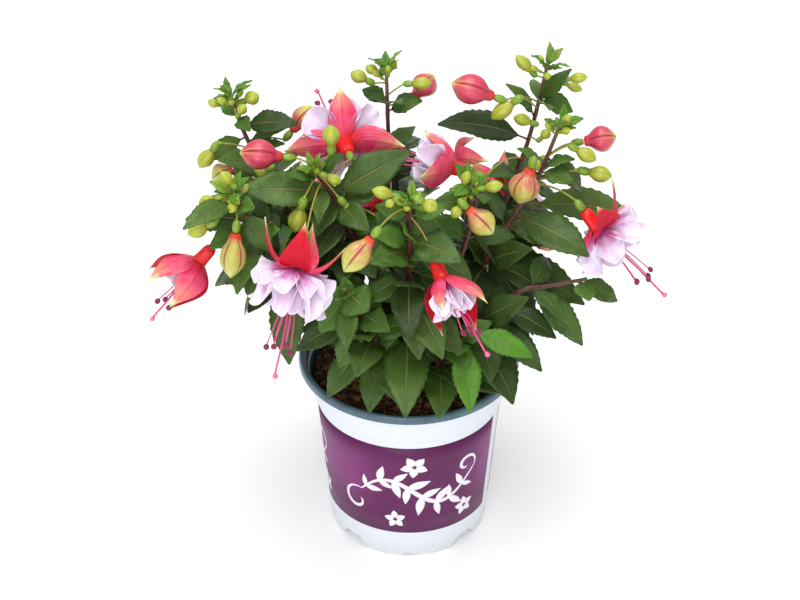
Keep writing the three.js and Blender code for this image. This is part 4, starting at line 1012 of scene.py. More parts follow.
def label_print(look):
    """Satin film printed in plum, with a soft lighter glow behind each spray."""
    f = Finish("Label print", Specular_IOR_Level=0.25)
    across, length = f.uv()
    wander = f.mottled(26.0, 2.0, 1.2)
    broad = f.mottled(9.0, 1.0)
    slope = f.scaled(across, 3 * 2 * math.pi, 0.9)
    wave = f.math("SINE", f.scaled(wander, 1.4, slope))
    middle = f.math("SUBTRACT", 1, f.math("ABSOLUTE", f.scaled(length, 2, -1.2)))
    glow = f.times(f.ramp(wave, -0.5, 1.0), f.ramp(middle, 0.1, 0.9))
    grain = f.mottled(0.7, 2.0)
    shade = f.blend(f.times(broad, 0.25), look.label, srgb("#4E163E"))
    colour = f.blend(f.times(glow, 0.8), shade, look.label_band)
    return f.done(f.blend(f.times(grain, 0.08), colour, srgb("#A0709A")), 0.4, grain, 0.02)


def label_ink():
    """White ink of the label's sprigs and its plain edge."""
    f = Finish("Label ink", Coat_Weight=0.3)
    grain = f.mottled(1.2, 3.0)
    return f.done(f.blend(f.times(grain, 0.3), srgb("#F4EEF6"), srgb("#D9C4DC")), 0.4, grain, 0.02)


def peat(name, dark, light, damp):
    """Peat, its crumbs and fibres, or grit."""
    f = Finish(name, Specular_IOR_Level=0.25)
    fine = f.mottled(1.1, 5.0, 1.6)
    broad = f.mottled(9.0, 3.0, 1.4)
    tone = f.times(fine, f.scaled(broad, 0.6, 0.5), clamp=True)
    return f.done(f.blend(tone, dark, light), damp, fine, 0.5)


def leaf_top(look):
    """The upper face: satin green with sunk veins, brighter on young leaves, darker at random from
    leaf to leaf, and given painted shade deep inside the plant.
    """
    f = Finish("Leaf upper face", Specular_IOR_Level=0.3)
    vein = f.group(leaf_veins(), Pairs=7.0, Slant=0.17, Width=0.13)
    blotch = f.mottled(9.0, 3.0, 1.5)
    fine = f.mottled(0.8, 2.0, 1.1)
    youth, tint, blush = f.painted("youth"), f.painted("tint"), f.painted("blush")
    across, length = f.uv()
    side = f.from_middle(across)
    worn = f.math("ADD", f.times(blotch, 0.5), f.times(tint, 0.6), clamp=True)
    old = f.blend(f.times(worn, f.ramp(length, 0.0, 0.9, 0.75, 1.1)), look.leaf, look.leaf_light)
    # Painted shade: leaves deep inside the plant are darkened towards the dark green, and the tint
    # also darkens some leaves at random.
    shade = f.math("MAXIMUM", f.painted("depth"), f.ramp(tint, 0.45, 0.0, 0, 0.75))
    deep = f.blend(shade, old, look.leaf_dark_and_painted_shade)
    fresh = f.blend(f.ramp(youth, 0.86, 1.0), look.young_leaf, look.tuft_leaf)
    green = f.blend(youth, deep, fresh)
    green = f.blend(f.ramp(side, 0.84, 1.0, 0, 0.35), green, srgb("#3A4A1C"))
    rib = f.blend(blush, f.blend(0.5, green, srgb("#A9C07A")), look.rib)
    is_rib = f.ramp(side, 0.065, 0.02)
    pale = f.blend(f.times(is_rib, f.ramp(length, 1.0, 0.3)),
                   f.blend(0.3, green, srgb("#8FA860")), rib)
    colour = f.blend(f.times(vein, 0.62), green, pale)
    quilt = f.math("SUBTRACT", f.times(fine, 0.2), vein)
    return f.done(colour, f.scaled(fine, 0.14, 0.35), quilt, 0.5)


def leaf_back(look):
    """The under face: pale grey green with raised veins, and given painted shade deep inside the
    plant.
    """
    f = Finish("Leaf under face", Specular_IOR_Level=0.3)
    vein = f.group(leaf_veins(), Pairs=7.0, Slant=0.17, Width=0.2)
    blotch = f.mottled(5.0, 3.0)
    # Painted shade: the under face of leaves deep inside the plant is darkened towards the upper
    # face's green.
    old = f.blend(f.painted("depth"), f.blend(blotch, look.leaf_back, srgb("#6C8A5C")), look.leaf)
    green = f.blend(f.painted("youth"), old, srgb("#7DB548"))
    rib = f.blend(f.painted("blush"), srgb("#A9C088"), srgb("#A86E58"))
    return f.done(f.blend(f.times(vein, 0.7), green, rib), 0.52, vein, 0.3)


def stem_bark(look):
    """Thin stems: red brown, greener towards their tips."""
    f = Finish("Stem", Coat_Weight=0.08)
    streak = f.mottled(2.2, 3.0, 1.4)
    tip = f.ramp(f.math("ADD", f.painted("youth"), f.times(streak, 0.3)), 0.55, 1.15)
    bark = f.blend(streak, look.stem, srgb("#633226"))
    return f.done(f.blend(tip, bark, look.stem_tip), f.scaled(streak, 0.2, 0.38), streak, 0.15)


def ovary_skin(look):
    """Stalks, ovaries and small buds: green with darker seams, flushed with red where exposed."""
    f = Finish("Ovary and green bud", Coat_Weight=0.12, Coat_Roughness=0.25,
               Subsurface_Weight=0.08, Subsurface_Scale=0.002)
    across, length = f.uv()
    streak = f.mottled(3.0, 2.0, 1.2)
    fine = f.mottled(0.9, 3.0, 1.2)
    youth, blush = f.painted("youth"), f.painted("blush")
    ripening = f.times(youth, f.ramp(length, 0.0, 0.45, 0.45, 1.0))
    green = f.blend(f.scaled(streak, 0.3, ripening, clamp=True), look.ovary, look.green_bud)
    seam = f.times(f.ramp(lobe_side(f, across), 0.16, 0.0), f.ramp(youth, 0.5, 0.9, 0, 0.5))
    seamed = f.blend(seam, f.blend(f.times(fine, 0.25), green, srgb("#8FA030")), srgb("#8A7A34"))
    flushed = f.times(blush, f.scaled(streak, 0.5, 0.5))
    return f.done(f.blend(flushed, seamed, srgb("#B0563A")), f.scaled(fine, 0.15, 0.3),
                  f.math("SUBTRACT", f.times(fine, 0.3), seam), 0.15)


def lobe_side(f, across):
    """0 in the grooves between a four-lobed piece's lobes, 1 on their ridges."""
    return f.math("ABSOLUTE", f.scaled(f.math("FRACT", f.times(across, 4)), 2, -1))


def calyx_outer(look):
    """Outside of tube and sepals: glossy red, pinker on the sepals, with green white tips."""
    f = Finish("Calyx outside", Coat_Weight=0.1, Coat_Roughness=0.3, Subsurface_Weight=0.18,
               Subsurface_Scale=0.003)
    side = f.from_middle(f.uv()[0])
    cloud = f.mottled(5.0, 3.0, 1.2)
    vein = f.group(long_veins(), Lines=9.0, Waver=0.4, Width=0.4)
    along_sepal = f.painted("ripe")
    pink = f.blend(f.times(cloud, 0.8), look.sepal, srgb("#F46088"))
    red = f.blend(f.ramp(along_sepal, 0.0, 0.35), look.tube, pink)
    greenish = f.times(f.ramp(along_sepal, 0.45, 1.0, 0, 0.7),
                      f.scaled(cloud, 0.6, f.ramp(side, 0.95, 0.2, 0, 0.5)))
    worn = f.blend(greenish, red, srgb("#E4C88A"))
    seam = f.times(f.ramp(side, 0.07, 0.01), f.ramp(along_sepal, 0.02, 0.12, 0, 0.5))
    seamed = f.blend(f.math("MAXIMUM", seam, f.times(vein, 0.22)), worn, look.sepal_vein)
    tip = f.ramp(f.scaled(cloud, 0.08, along_sepal), 0.86, 1.0)
    return f.done(f.blend(tip, seamed, look.sepal_tip), f.scaled(cloud, 0.14, 0.3),
                  f.math("MAXIMUM", vein, seam), 0.15)


def calyx_inner(look):
    """Inside of the sepals: deep velvety crimson."""
    f = Finish("Sepal inside", Specular_IOR_Level=0.2, Subsurface_Weight=0.12,
               Subsurface_Scale=0.003)
    cloud = f.mottled(4.0, 3.0, 1.2)
    fine = f.mottled(0.6, 2.0)
    vein = f.group(long_veins(), Lines=9.0, Waver=0.5, Width=0.35)
    deep = f.blend(f.times(cloud, 0.6), look.sepal_inside, srgb("#D8203C"))
    veined = f.blend(f.times(vein, 0.3), deep, srgb("#A00C28"))
    tip = f.ramp(f.painted("ripe"), 0.88, 1.02)
    return f.done(f.blend(tip, veined, look.sepal_tip), f.scaled(fine, 0.16, 0.42),
                  f.math("ADD", fine, vein), 0.12)


def petal_skin(look):
    """Soft lilac white petals, magenta in streaks that start at the base."""
    f = Finish("Petal", Subsurface_Weight=0.25, Subsurface_Scale=0.004, Specular_IOR_Level=0.35)
    across, length = f.uv()
    vein = f.group(long_veins(), Lines=9.0, Waver=1.2, Width=0.5)
    wander = f.mottled(7.0, 2.0, 1.3)
    crinkle = f.mottled(1.8, 2.0, 1.1)
    side = f.from_middle(across)
    edge = f.scaled(wander, -0.3, f.scaled(side, -0.2, length))
    base = f.blend(f.ramp(edge, 0.4, -0.02), look.petal, look.petal_base)
    streaked = f.blend(f.times(vein, f.ramp(length, 0.9, 0.15, 0.05, 0.6)), base, look.petal_vein)
    blushed = f.blend(f.ramp(wander, 0.55, 0.95, 0, 0.2), streaked, srgb("#EBB8DE"))
    rim = f.ramp(length, 0.9, 1.0, 0, 0.5)
    return f.done(f.blend(rim, blushed, srgb("#F2E6F4")), f.scaled(crinkle, 0.12, 0.42),
                  f.math("ADD", crinkle, vein), 0.16)


def filament_skin(look):
    """Stamens and style: wax pink, deeper towards the base."""
    f = Finish("Filament", Coat_Weight=0.2, Subsurface_Weight=0.1, Subsurface_Scale=0.002)
    length = f.uv()[1]
    streak = f.mottled(2.5, 2.0, 1.2)
    colour = f.blend(f.ramp(f.scaled(streak, 0.3, length), 0.2, 1.1), look.filament,
                     look.filament_tip)
    return f.done(colour, 0.35, streak, 0.04)


def anther_skin(look):
    """Anthers: dark plum, dusted with pollen."""
    f = Finish("Anther", Sheen_Weight=0.08)
    dust = f.mottled(0.9, 4.0, 1.8)
    return f.done(f.blend(f.times(dust, 0.22), look.anther, srgb("#A8788A")),
                  f.scaled(dust, 0.3, 0.5), dust, 0.2)


def stigma_skin():
    """The stigma's pink knob."""
    f = Finish("Stigma", Coat_Weight=0.3, Subsurface_Weight=0.1, Subsurface_Scale=0.002)
    lump = f.mottled(1.2, 3.0, 1.3)
    return f.done(f.blend(lump, srgb("#E04C88"), srgb("#F286B2")), 0.35, lump, 0.2)


def bud_skin(look):
    """Closed calyx: red neck, pink lobes streaked along, darker seams, and a green white tip."""
    f = Finish("Bud", Coat_Weight=0.1, Coat_Roughness=0.3, Subsurface_Weight=0.1,
               Subsurface_Scale=0.003)
    across, length = f.uv()
    ripe = f.painted("ripe")
    cloud = f.mottled(4.0, 3.0, 1.2)
    streak = f.group(long_veins(), Lines=28.0, Waver=0.9, Width=0.7)
    lobe = lobe_side(f, across)
    seam = f.times(f.ramp(lobe, 0.1, 0.02), f.ramp(length, 0.2, 0.34, 0, 0.85))
    margin = f.times(f.times(f.ramp(lobe, 0.1, 0.2), f.ramp(lobe, 0.55, 0.25)),
                    f.ramp(length, 0.4, 0.85, 0, 0.45))
    pink = f.blend(f.times(cloud, 0.7), look.bud, srgb("#DE5A74"))
    cream = f.blend(f.times(streak, 0.3), look.unripe_bud, srgb("#D08A62"))
    turned = f.math("ADD", f.scaled(cloud, 0.3, ripe), f.ramp(length, 0.95, 0.3, -0.3, 0.12))
    body = f.blend(f.ramp(turned, 0.35, 0.95), cream, pink)
    edged = f.blend(margin, body, look.unripe_bud)
    veined = f.blend(f.times(streak, f.ramp(turned, 0.4, 0.9, 0.1, 0.5)), edged, srgb("#A81C3C"))
    flushed = f.blend(f.ramp(lobe, 0.3, 0.05, 0, 0.5), veined, look.bud)
    necked = f.blend(f.ramp(length, 0.3, 0.14), flushed, look.bud_neck)
    seamed = f.blend(seam, necked, srgb("#8C1C38"))
    turning = f.math("ADD", length, f.times(f.math("SUBTRACT", 1, ripe), 0.3))
    tip = f.ramp(f.scaled(cloud, 0.1, turning), 0.86, 1.04)
    return f.done(f.blend(f.times(tip, f.ramp(lobe, 0.04, 0.14, 0.4, 1.0)), seamed, look.bud_tip),
                  f.scaled(cloud, 0.12, 0.3),
                  f.math("SUBTRACT", f.times(f.math("ADD", cloud, streak), 0.3), seam), 0.35)


def floor_paper(look):
    """Plain pale paper that shines a little by itself."""
    f = Finish("Floor paper", Specular_IOR_Level=0.2, Emission_Color=srgb("#FFFFFF"),
               Emission_Strength=look.glow)
    fibre = f.mottled(3.0, 3.0, 0.5)
    return f.done(f.blend(f.times(fibre, 0.1), look.floor, srgb("#F4F4F6")), 0.85, fibre, 0.02)


# -------------------------------------------------------------------- pot, label, soil
def spun(profile, steps):
    """A closed turned body from radius and height pairs that begin and end on the axis."""
    bm = bmesh.new()
    verts = [bm.verts.new((radius * MM, 0, z * MM)) for radius, z in profile]
    edges = [bm.edges.new(pair) for pair in zip(verts, verts[1:])]
    bmesh.ops.spin(bm, geom=verts + edges, cent=(0, 0, 0), axis=(0, 0, 1),
                   angle=2 * math.pi, steps=steps, use_merge=True)
    bmesh.ops.remove_doubles(bm, verts=bm.verts, dist=1e-6)
    bmesh.ops.recalc_face_normals(bm, faces=bm.faces)
    return bm


def settle(piece):
    """Apply a piece's modifiers."""
    evaluated = piece.evaluated_get(bpy.context.evaluated_depsgraph_get())
    mesh = bpy.data.meshes.new_from_object(evaluated)
    piece.modifiers.clear()
    piece.data = mesh


def skirt_cutter(bm, angle, size):
    """Block across the skirt, at least as wide at the ground as at its top."""
    turn = Matrix.Rotation(angle, 4, "Z")
    length = CUT["to"] - CUT["from"]
    made = bmesh.ops.create_cube(bm, size=1)["verts"]
    for vert in made:
        half = size["foot"] if vert.co.z < 0 else size["top"]
        z = -CUT["below"] if vert.co.z < 0 else size["height"]
        x = CUT["from"] + length * (vert.co.x + 0.5)
        vert.co = turn @ Vector((x, 2 * vert.co.y * half, z)) * MM
    edges = {edge for vert in made for edge in vert.link_edges
             if all(abs(v.co.z - size["height"] * MM) < 1e-7 for v in edge.verts)
             and abs((edge.verts[0].co - edge.verts[1].co).length - length * MM) < 1e-6}
    bmesh.ops.bevel(bm, geom=sorted(edges, key=lambda e: e.index), offset=0.35 * size["height"] * MM,
                    offset_type="OFFSET", segments=5, profile=0.5, affect="EDGES", material=-1)


def make_pot(look):
    profile = [(0, FLOOR_UNDERSIDE), (SKIRT_INNER_RADIUS, FLOOR_UNDERSIDE), (SKIRT_INNER_RADIUS, 0),
               *WALL, *smooth_lip(), *INNER_WALL[1:], (0, FLOOR_TOP)]
    pot = object_from("pot_shell", spun(profile, WALL_STEPS))
    cutters = bmesh.new()
    for k in range(FEET):
        foot = 2 * math.pi * k / FEET
        between = foot + math.pi / FEET
        skirt_cutter(cutters, foot, NOTCH)
        skirt_cutter(cutters, between, ARCH)
        spot = Matrix.Translation((DRAIN["from_axis"] * math.cos(between) * MM,
                                   DRAIN["from_axis"] * math.sin(between) * MM, DRAIN["middle"] * MM))
        bmesh.ops.create_cone(cutters, cap_ends=True, segments=40, radius1=DRAIN["radius"] * MM,
                              radius2=DRAIN["radius"] * MM, depth=DRAIN["depth"] * MM, matrix=spot)
    bmesh.ops.recalc_face_normals(cutters, faces=cutters.faces)
    cutter = object_from("cutter", cutters)
    cut = pot.modifiers.new("Cuts", "BOOLEAN")
    cut.operation, cut.object, cut.solver = "DIFFERENCE", cutter, "EXACT"
    settle(pot)
    bpy.data.objects.remove(cutter)
    pot.data.materials.clear()
    for material in (pot_plastic(look), lip_plastic(look)):
        pot.data.materials.append(material)
    for face in pot.data.polygons:
        centre = face.center
        radius = math.hypot(centre.x, centre.y)
        to_axis = face.normal.x * centre.x + face.normal.y * centre.y < 0
        inside = (to_axis and centre.z > LIP_COLOUR["inside_from"] * MM
                  and radius < LIP_COLOUR["inside_radius"] * MM)
        face.material_index = 1 if centre.z > LIP_COLOUR["from"] * MM or inside else 0
        face.use_smooth = True
    pot.data.set_sharp_from_angle(angle=math.radians(SHARP_DEGREES))
    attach(pot, "root")
    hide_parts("pot")


def smooth_lip():
    """The rolled lip as a smooth line instead of six corners."""
    marks = [(radius, z, 0) for radius, z in LIP]
    return [tuple(along(marks, i / LIP_STEPS)[:2]) for i in range(1, LIP_STEPS + 1)]


def wall_radius(z):
    """Outer radius of the pot's wall."""
    return np.interp(z, [mark[1] for mark in WALL], [mark[0] for mark in WALL])


def on_wall(turn, z, proud):
    """Points on the wall: degrees from the front towards +X, height, distance outwards."""
    angle = np.radians(turn - 90)
    radius = wall_radius(z) + proud
    return np.stack([radius * np.cos(angle), radius * np.sin(angle), z], axis=1)


def make_label(look):
    """The printed film round the wall, with plain sprays of leaves and small flowers."""
    film = Shape()

    def place(u, v):
        turn = LABEL["right"] - LABEL["round"] * (1 - u) / 2
        return on_wall(turn, mix(LABEL["low"], LABEL["high"], v), LABEL["proud"])
    film.sheet(150, 6, place)
    piece = film.piece("label_film", [label_print(look)], ["pot"], "pot")
    thicken(piece, LABEL["film"] * MM, -1)
    ink = Shape()
    for centre in SPRAY_TURNS:
        draw_spray(ink, centre)
    sprays = ink.piece("label_sprigs", [label_ink()], ["pot"], "pot")
    thicken(sprays, LABEL["ink"] * MM, -1)


def draw_spray(ink, centre):
    """One flowing spray: a bent stem with leaves in pairs, curled tendrils and open flowers."""
    def wall(across, rise):
        return on_wall(centre + DEGREES_PER_MM * across, rise, LABEL["proud"] + LABEL["ink_proud"])

    def ribbon(path, width, count):
        """A stroke that swells in its middle; the path gives across and rise."""
        def place(u, v):
            here, ahead = path(v), path(v + 0.01)
            way = np.stack(ahead) - np.stack(here)
            way /= np.linalg.norm(way, axis=0)
            half = u * width * (0.3 + 0.7 * np.sin(np.pi * np.clip(v, 0, 1)))
            return wall(here[0] - way[1] * half, here[1] + way[0] * half)
        ink.sheet(2, count, place)

    def blade(foot, angle, length, width):
        def place(u, v):
            half = width * np.sin(np.pi * v ** 0.8).clip(0) * u / 2
            return wall(foot[0] + length * v * math.cos(angle) - half * math.sin(angle),
                        foot[1] + length * v * math.sin(angle) + half * math.cos(angle))
        ink.sheet(4, 10, place)

    def stem(v):
        return -34 + 68 * v, 43 + 11 * v + 11 * np.sin(2 * math.pi * (v + 0.04))

    def curl(start, turn, size, way):
        def path(v):
            angle = turn + way * 5.6 * v
            reach = size * (1 - 0.72 * v)
            return (start[0] + size * math.cos(turn + math.pi) + reach * np.cos(angle),
                    start[1] + size * math.sin(turn + math.pi) + reach * np.sin(angle))
        return path
    ribbon(stem, 1.5, 60)
    for k in range(SPRAY_PAIRS):
        v = 0.04 + 0.12 * k
        foot = stem(v)
        ahead = stem(v + 0.01)
        angle = math.atan2(ahead[1] - foot[1], ahead[0] - foot[0])
        for way in (1, -1):
            length = 13.5 - 1.2 * abs(k - 3.5) + way * (1 if k % 2 else -1)
            blade(foot, angle + way * (0.85 + 0.05 * k), length, 0.38 * length)
    for v, turn, size, way in SPRAY_CURLS:
        ribbon(curl(stem(v), turn, size, way), 1.1, 40)
    for across, rise, size in SPRAY_FLOWERS:
        for k in range(FLOWER_PETALS):
            angle = 2 * math.pi * k / FLOWER_PETALS + 0.3 * size
            foot = across + 0.9 * math.cos(angle), rise + 0.9 * math.sin(angle)
            blade(foot, angle, size, 0.72 * size)


def soil_height(x, y):
    """Height of the soil's top, which is a little crowned and uneven."""
    radius = math.hypot(x, y)
    crown = np.interp(radius, [mark[0] for mark in SOIL_CROWN], [mark[1] for mark in SOIL_CROWN])
    waves = math.sin(x * 0.31 + 1) * math.cos(y * 0.27) + 0.6 * math.sin(x * 0.13 - y * 0.19)
    rough = noise.fractal(Vector((x, y, 0)) * 0.22, 0.9, 2.1, 5)
    inwards = min(1, (SOIL["wall"] - radius) / 6)
    return crown + SOIL["waves"] * waves + SOIL["rough"] * rough * inwards


def make_soil(look):
    rings = [(SOIL["radius"] * (1 - i / SOIL_RINGS), SOIL["level"]) for i in range(1, SOIL_RINGS)]
    bm = spun([*SOIL_PROFILE, *rings, (0, SOIL["level"])], SOIL_STEPS)
    for vert in bm.verts:
        if vert.co.z > SOIL["top_from"] * MM:
            vert.co.z = soil_height(vert.co.x / MM, vert.co.y / MM) * MM
    finished(bm, "soil_body", [peat("Peat", look.peat, look.peat_light, 0.85)], ["soil"])
    random = seeded("soil")
    crumbs = Shape()
    fibres = Shape()
    for i in range(CRUMBS["count"]):
        radius, turn = CRUMBS["reach"] * math.sqrt(random()), 2 * math.pi * random()
        spot = vec(radius * math.cos(turn), radius * math.sin(turn), 0)
        size = 0.4 + 2.3 * random() ** 5
        is_pale = i < CRUMBS["pale"]
        spot[2] = soil_height(*spot[:2]) + 0.2 * size
        crumbs.crumb(spot, CRUMBS["pale_radius"] if is_pale else size, int(is_pale))
    for vert in crumbs.bm.verts:
        shift = noise.noise_vector(vert.co / MM * 1.3) * CRUMBS["rough"]
        vert.co += shift * MM
    crumbs.piece("soil_crumbs", [peat("Peat crumb", look.peat, srgb("#9C6E4A"), 0.8),
                                 peat("Pale grit", srgb("#B9A88E"), srgb("#EAE2D4"), 0.7)],
                 ["soil"], "soil")
    for i in range(FIBRES["count"]):
        radius, turn = FIBRES["reach"] * math.sqrt(random()), 2 * math.pi * random()
        x, y = radius * math.cos(turn), radius * math.sin(turn)
        way, length, bend = 2 * math.pi * random(), 3 + 7 * random(), 1.6 * (random() - 0.5)
        points = []
        for k in range(6):
            t = k / 5 - 0.5
            px = x + length * t * math.cos(way + bend * t)
            py = y + length * t * math.sin(way + bend * t)
            inside = min(1, FIBRES["inside"] / max(1e-6, math.hypot(px, py)))
            px, py = px * inside, py * inside
            points.append((px, py, soil_height(px, py) + 0.35 + 0.8 * (0.25 - t * t) * random()))
        fibres.pipe(points, FIBRES["radii"], 4)
    fibres.piece("soil_fibres", [peat("Peat fibre", srgb("#6A3F20"), srgb("#B87840"), 0.75)],
                 ["soil"], "soil")


# ------------------------------------------------------------------------- shoots
def add_leaf(shape, leaf, **values):
    """The blade of one leaf, with small teeth."""
    columns, rows = LONG_BLADE if leaf["length"] > LONG_FROM else SHORT_BLADE
    phase = leaf["root"] @ vec(0.31, 0.17, 0.23)

    def place(u, v):
        s = mix(PETIOLE["share"] - 0.02, 1, v)
        row = np.rint(v * rows)
        teeth = np.where(row % 2 == 1, *TEETH) * (abs(u) > 0.9)
        ripple = 0.5 * abs(u) ** 2 * np.sin(v * 13 + phase + 2 * u) * np.sin(np.pi * v)
        curl = -0.05 * leaf["length"] * v ** 4
        return leaf_points(leaf, s, u, ripple * leaf["half"] * 0.12 + curl, teeth)
    shape.sheet(columns, rows, place, **values)


def add_petiole(shape, leaf, **values):
    line = [leaf_points(leaf, np.array([s]), 0.0, -0.25)[0] for s in (0, 0.05, 0.1, 0.15, 0.2)]
    shape.pipe(line, PETIOLE_RADII, 6, **values)


def redness(z):
    """How red ribs and leaf stalks are at a height: upper growth is redder."""
    return float(np.interp(z, [120, 175, 230], [0.1, 0.55, 0.95]))


def grow_extras(plant):
    """More leaves between those that the solids have, and tufts of leaves and buds at the tips."""
    for layer, rule in enumerate(EXTRA):
        for index, (name, (pairs, marks)) in enumerate(SHOOTS.items()):
            end = max(t / 50 for t in range(51) if along(marks, t / 50)[2] < EXTRA_CEILING)
            if name in OPEN_SHOOTS:
                end = OPEN_FROM
            if layer == 0 or name not in OPEN_SHOOTS:
                plant.fill(name, marks, pairs + EXTRA_PAIRS, seeded("extra", index, layer),
                           dict(rule, end=min(end, rule["end"]), **EXTRA_LOWEST), 0.2 + 0.1 * layer)
    youngest, oldest = STACKED_AGES
    for name, (low, high) in STACKED.items():
        plant.leaves[name] = [leaf for leaf in plant.leaves[name]
                              if not (youngest < leaf["age"] < oldest and low < leaf["at"] < high)]
    for index, (name, (_, marks)) in enumerate(SHOOTS.items()):
        if name.startswith("low"):
            continue
        random = seeded("tuft", index)
        top = along(marks, 1)
        forward = heading(marks, 1)
        side = side_of(forward)
        other = np.cross(forward, side)
        for k in range(TUFT["leaves"] + TUFT["buds"]):
            angle = 2.4 * k + random()
            rise = math.radians(5 + 60 * random())
            out = side * math.cos(angle) + other * math.sin(angle)
            way = out * math.cos(rise) + forward * math.sin(rise)
            root = top - forward * 0.6 * k
            if k < TUFT["leaves"]:
                length = TUFT["length"] * (0.7 + 0.6 * random())
                leaf = leaf_frame(root, root + way * length, TUFT["width"] * length, FILL_FACE)
                plant.leaves[name].append(dict(leaf, at=1, age=0.84 + 0.16 * random(), tuft=True))
            else:
                radius = TUFT["bud_radius"] * (0.7 + 0.5 * random())
                neck = root + way * 2.6 * radius
                plant.buds.append((name, root, root + way * 1.3 * radius, neck,
                                   neck + way * 3.2 * radius, radius))


def make_shoots(look):
    grow_extras(PLANT)
    materials = {"top": leaf_top(look), "back": leaf_back(look), "stem": stem_bark(look),
                 "ovary": ovary_skin(look)}
    for index, (name, (_, marks)) in enumerate(SHOOTS.items()):
        random = seeded("tone", index)
        node = f"shoot_{name}"
        blades = Shape("youth", "tint", "blush", "depth")
        stems = Shape("youth")
        for leaf in PLANT.leaves[name]:
            tip_height = leaf["root"][2] + leaf["line"][2]
            youth = youth_of(leaf, random())
            tint = random()
            # The depth value is painted shade: leaves deep inside the plant are coloured darker.
            add_leaf(blades, leaf, youth=youth, tint=tint, blush=redness(tip_height),
                     depth=painted_shade_of(leaf))
            add_petiole(stems, leaf, youth=0.45 + 0.45 * youth)
        faces = blades.piece(f"leaves_{name}", [materials["top"], materials["back"]], [node], "leaf")
        thicken(faces, LEAF_THICKNESS * MM, -1, other_side=1)
        places = range(SHOOT_STEPS + 1)
        line = [along(marks, i / SHOOT_STEPS) for i in places]
        swell = [1 + 0.16 * max(0, math.cos(2 * math.pi * i / 6)) ** 6 for i in places]
        stems.pipe(line, [mix(*SHOOT_RADII, i / SHOOT_STEPS) * swell[i] for i in places], 10,
                   youth=lambda v: 0.9 * v ** 5)
        stems.piece(f"stems_{name}", [materials["stem"]], [node], "leaf")
        ovaries = Shape("youth", "blush")
        for ovary in PLANT.ovaries[name]:
            add_ovary(ovaries, *ovary)
        for shoot, *bud in PLANT.buds:
            if shoot == name:
                add_green_bud(ovaries, *bud)
        if ovaries.bm.verts:
            ovaries.piece(f"ovaries_{name}", [materials["ovary"]], [node], "leaf")
        else:
            ovaries.bm.free()


def painted_shade_of(leaf):
    """How deep inside the plant a leaf is, from 0 at its outside to 1 at its heart: the painted shade
    that darkens leaves there.
    """
    middle = leaf["root"] + leaf["line"] * 0.6
    reach = norm((middle - vec(*HEART)) / vec(*HEART_REACH))
    return float(np.interp(reach, [0.35, 0.8], [1, 0]))


def youth_of(leaf, chance):
    """How bright a leaf is: small ones high up, and two low on the right, are young."""
    small = float(np.interp(leaf["length"], [12, 34], [0.55, 0.0]))
    tip = leaf["root"] + leaf["line"]
    is_fresh = any(norm(tip - vec(*spot)) < FRESH_REACH for spot in FRESH_TIPS)
    return min(1.0, max(small * (0.5 + 0.8 * chance), FRESH_YOUTH if is_fresh else 0.0,
                        leaf["age"] if leaf.get("tuft") else 0))


def add_ovary(shape, root, over, foot, top, forward):
    """The flower's stalk and its ovary."""
    shape.pipe(curve(root, over, foot + forward * 0.8, 14), [0.62] + [0.5] * 13 + [0.7], 8,
               youth=0.3, blush=lambda v: 0.85 - 0.5 * v)
    shape.turned(foot, top - foot, OVARY, 14, lobes=(4, 0.03), youth=0.1, blush=0.0)


def add_green_bud(shape, root, foot, neck, tip, radius):
    """A small closed bud with its young ovary, on its stalk."""
    forward = unit(tip - neck)
    over = mix(root, foot, 0.5) + vec(0, 0, 0.08 * norm(foot - root))
    end = 0.3 * radius
    shape.pipe(curve(root, over, foot + forward * 0.3, 8), [0.6] + [0.48] * 7 + [end], 7,
               youth=0.35, blush=lambda v: 0.5 - 0.4 * v)
    shape.turned(foot, forward * norm(neck - foot), GREEN_BUD_OVARY, 12, radius,
                 lobes=(4, 0.03), youth=0.15, blush=0.0)
    shape.turned(neck, tip - neck, GREEN_BUD_BODY, 16, radius,
                 lobes=(4, 0.07), youth=0.95, blush=lambda v: 0.5 * (1 - v) ** 2)


# ---------------------------------------------------------------------- buds and blooms
def make_buds(look):
    skin = bud_skin(look)
    for index, (_, _, neck, tip, radius, ripe) in enumerate(COLOUR_BUDS):
        neck, tip = vec(*neck), vec(*tip)
        shape = Shape("ripe")
        body = [(t, share * radius) for t, share in BUD_BODY]
        marks = [*BUD_NECK, (0.22, 0.5 * radius + 0.6), *body]
        shape.turned(neck, tip - neck, marks, 32, lobes=(4, 0.06), ripe=ripe)
        piece = shape.piece(f"bud_{index + 1}_skin", [skin], [f"bud_{index + 1}"], "bud")
        soften(piece)


def make_calyces(look):
    materials = [calyx_outer(look), calyx_inner(look)]
    for bloom in PLANT.blooms:
        shape = Shape("ripe")
        fullness = SEPAL_FULLNESS.get(bloom["name"], SEPAL_RULE)
        shape.turned(bloom["throat"], bloom["axis"], TUBE, 24, lobes=(4, 0.035), ripe=0.0)
        for offset in bloom["sepals"]:
            sepal = sepal_frame(bloom, offset)
            add_sepal(shape, dict(sepal, half=sepal["half"] * fullness))
        piece = shape.piece(f"{bloom['name']}_sepals", materials, [f"{bloom['name']}_calyx"], "calyx")
        soften(piece)


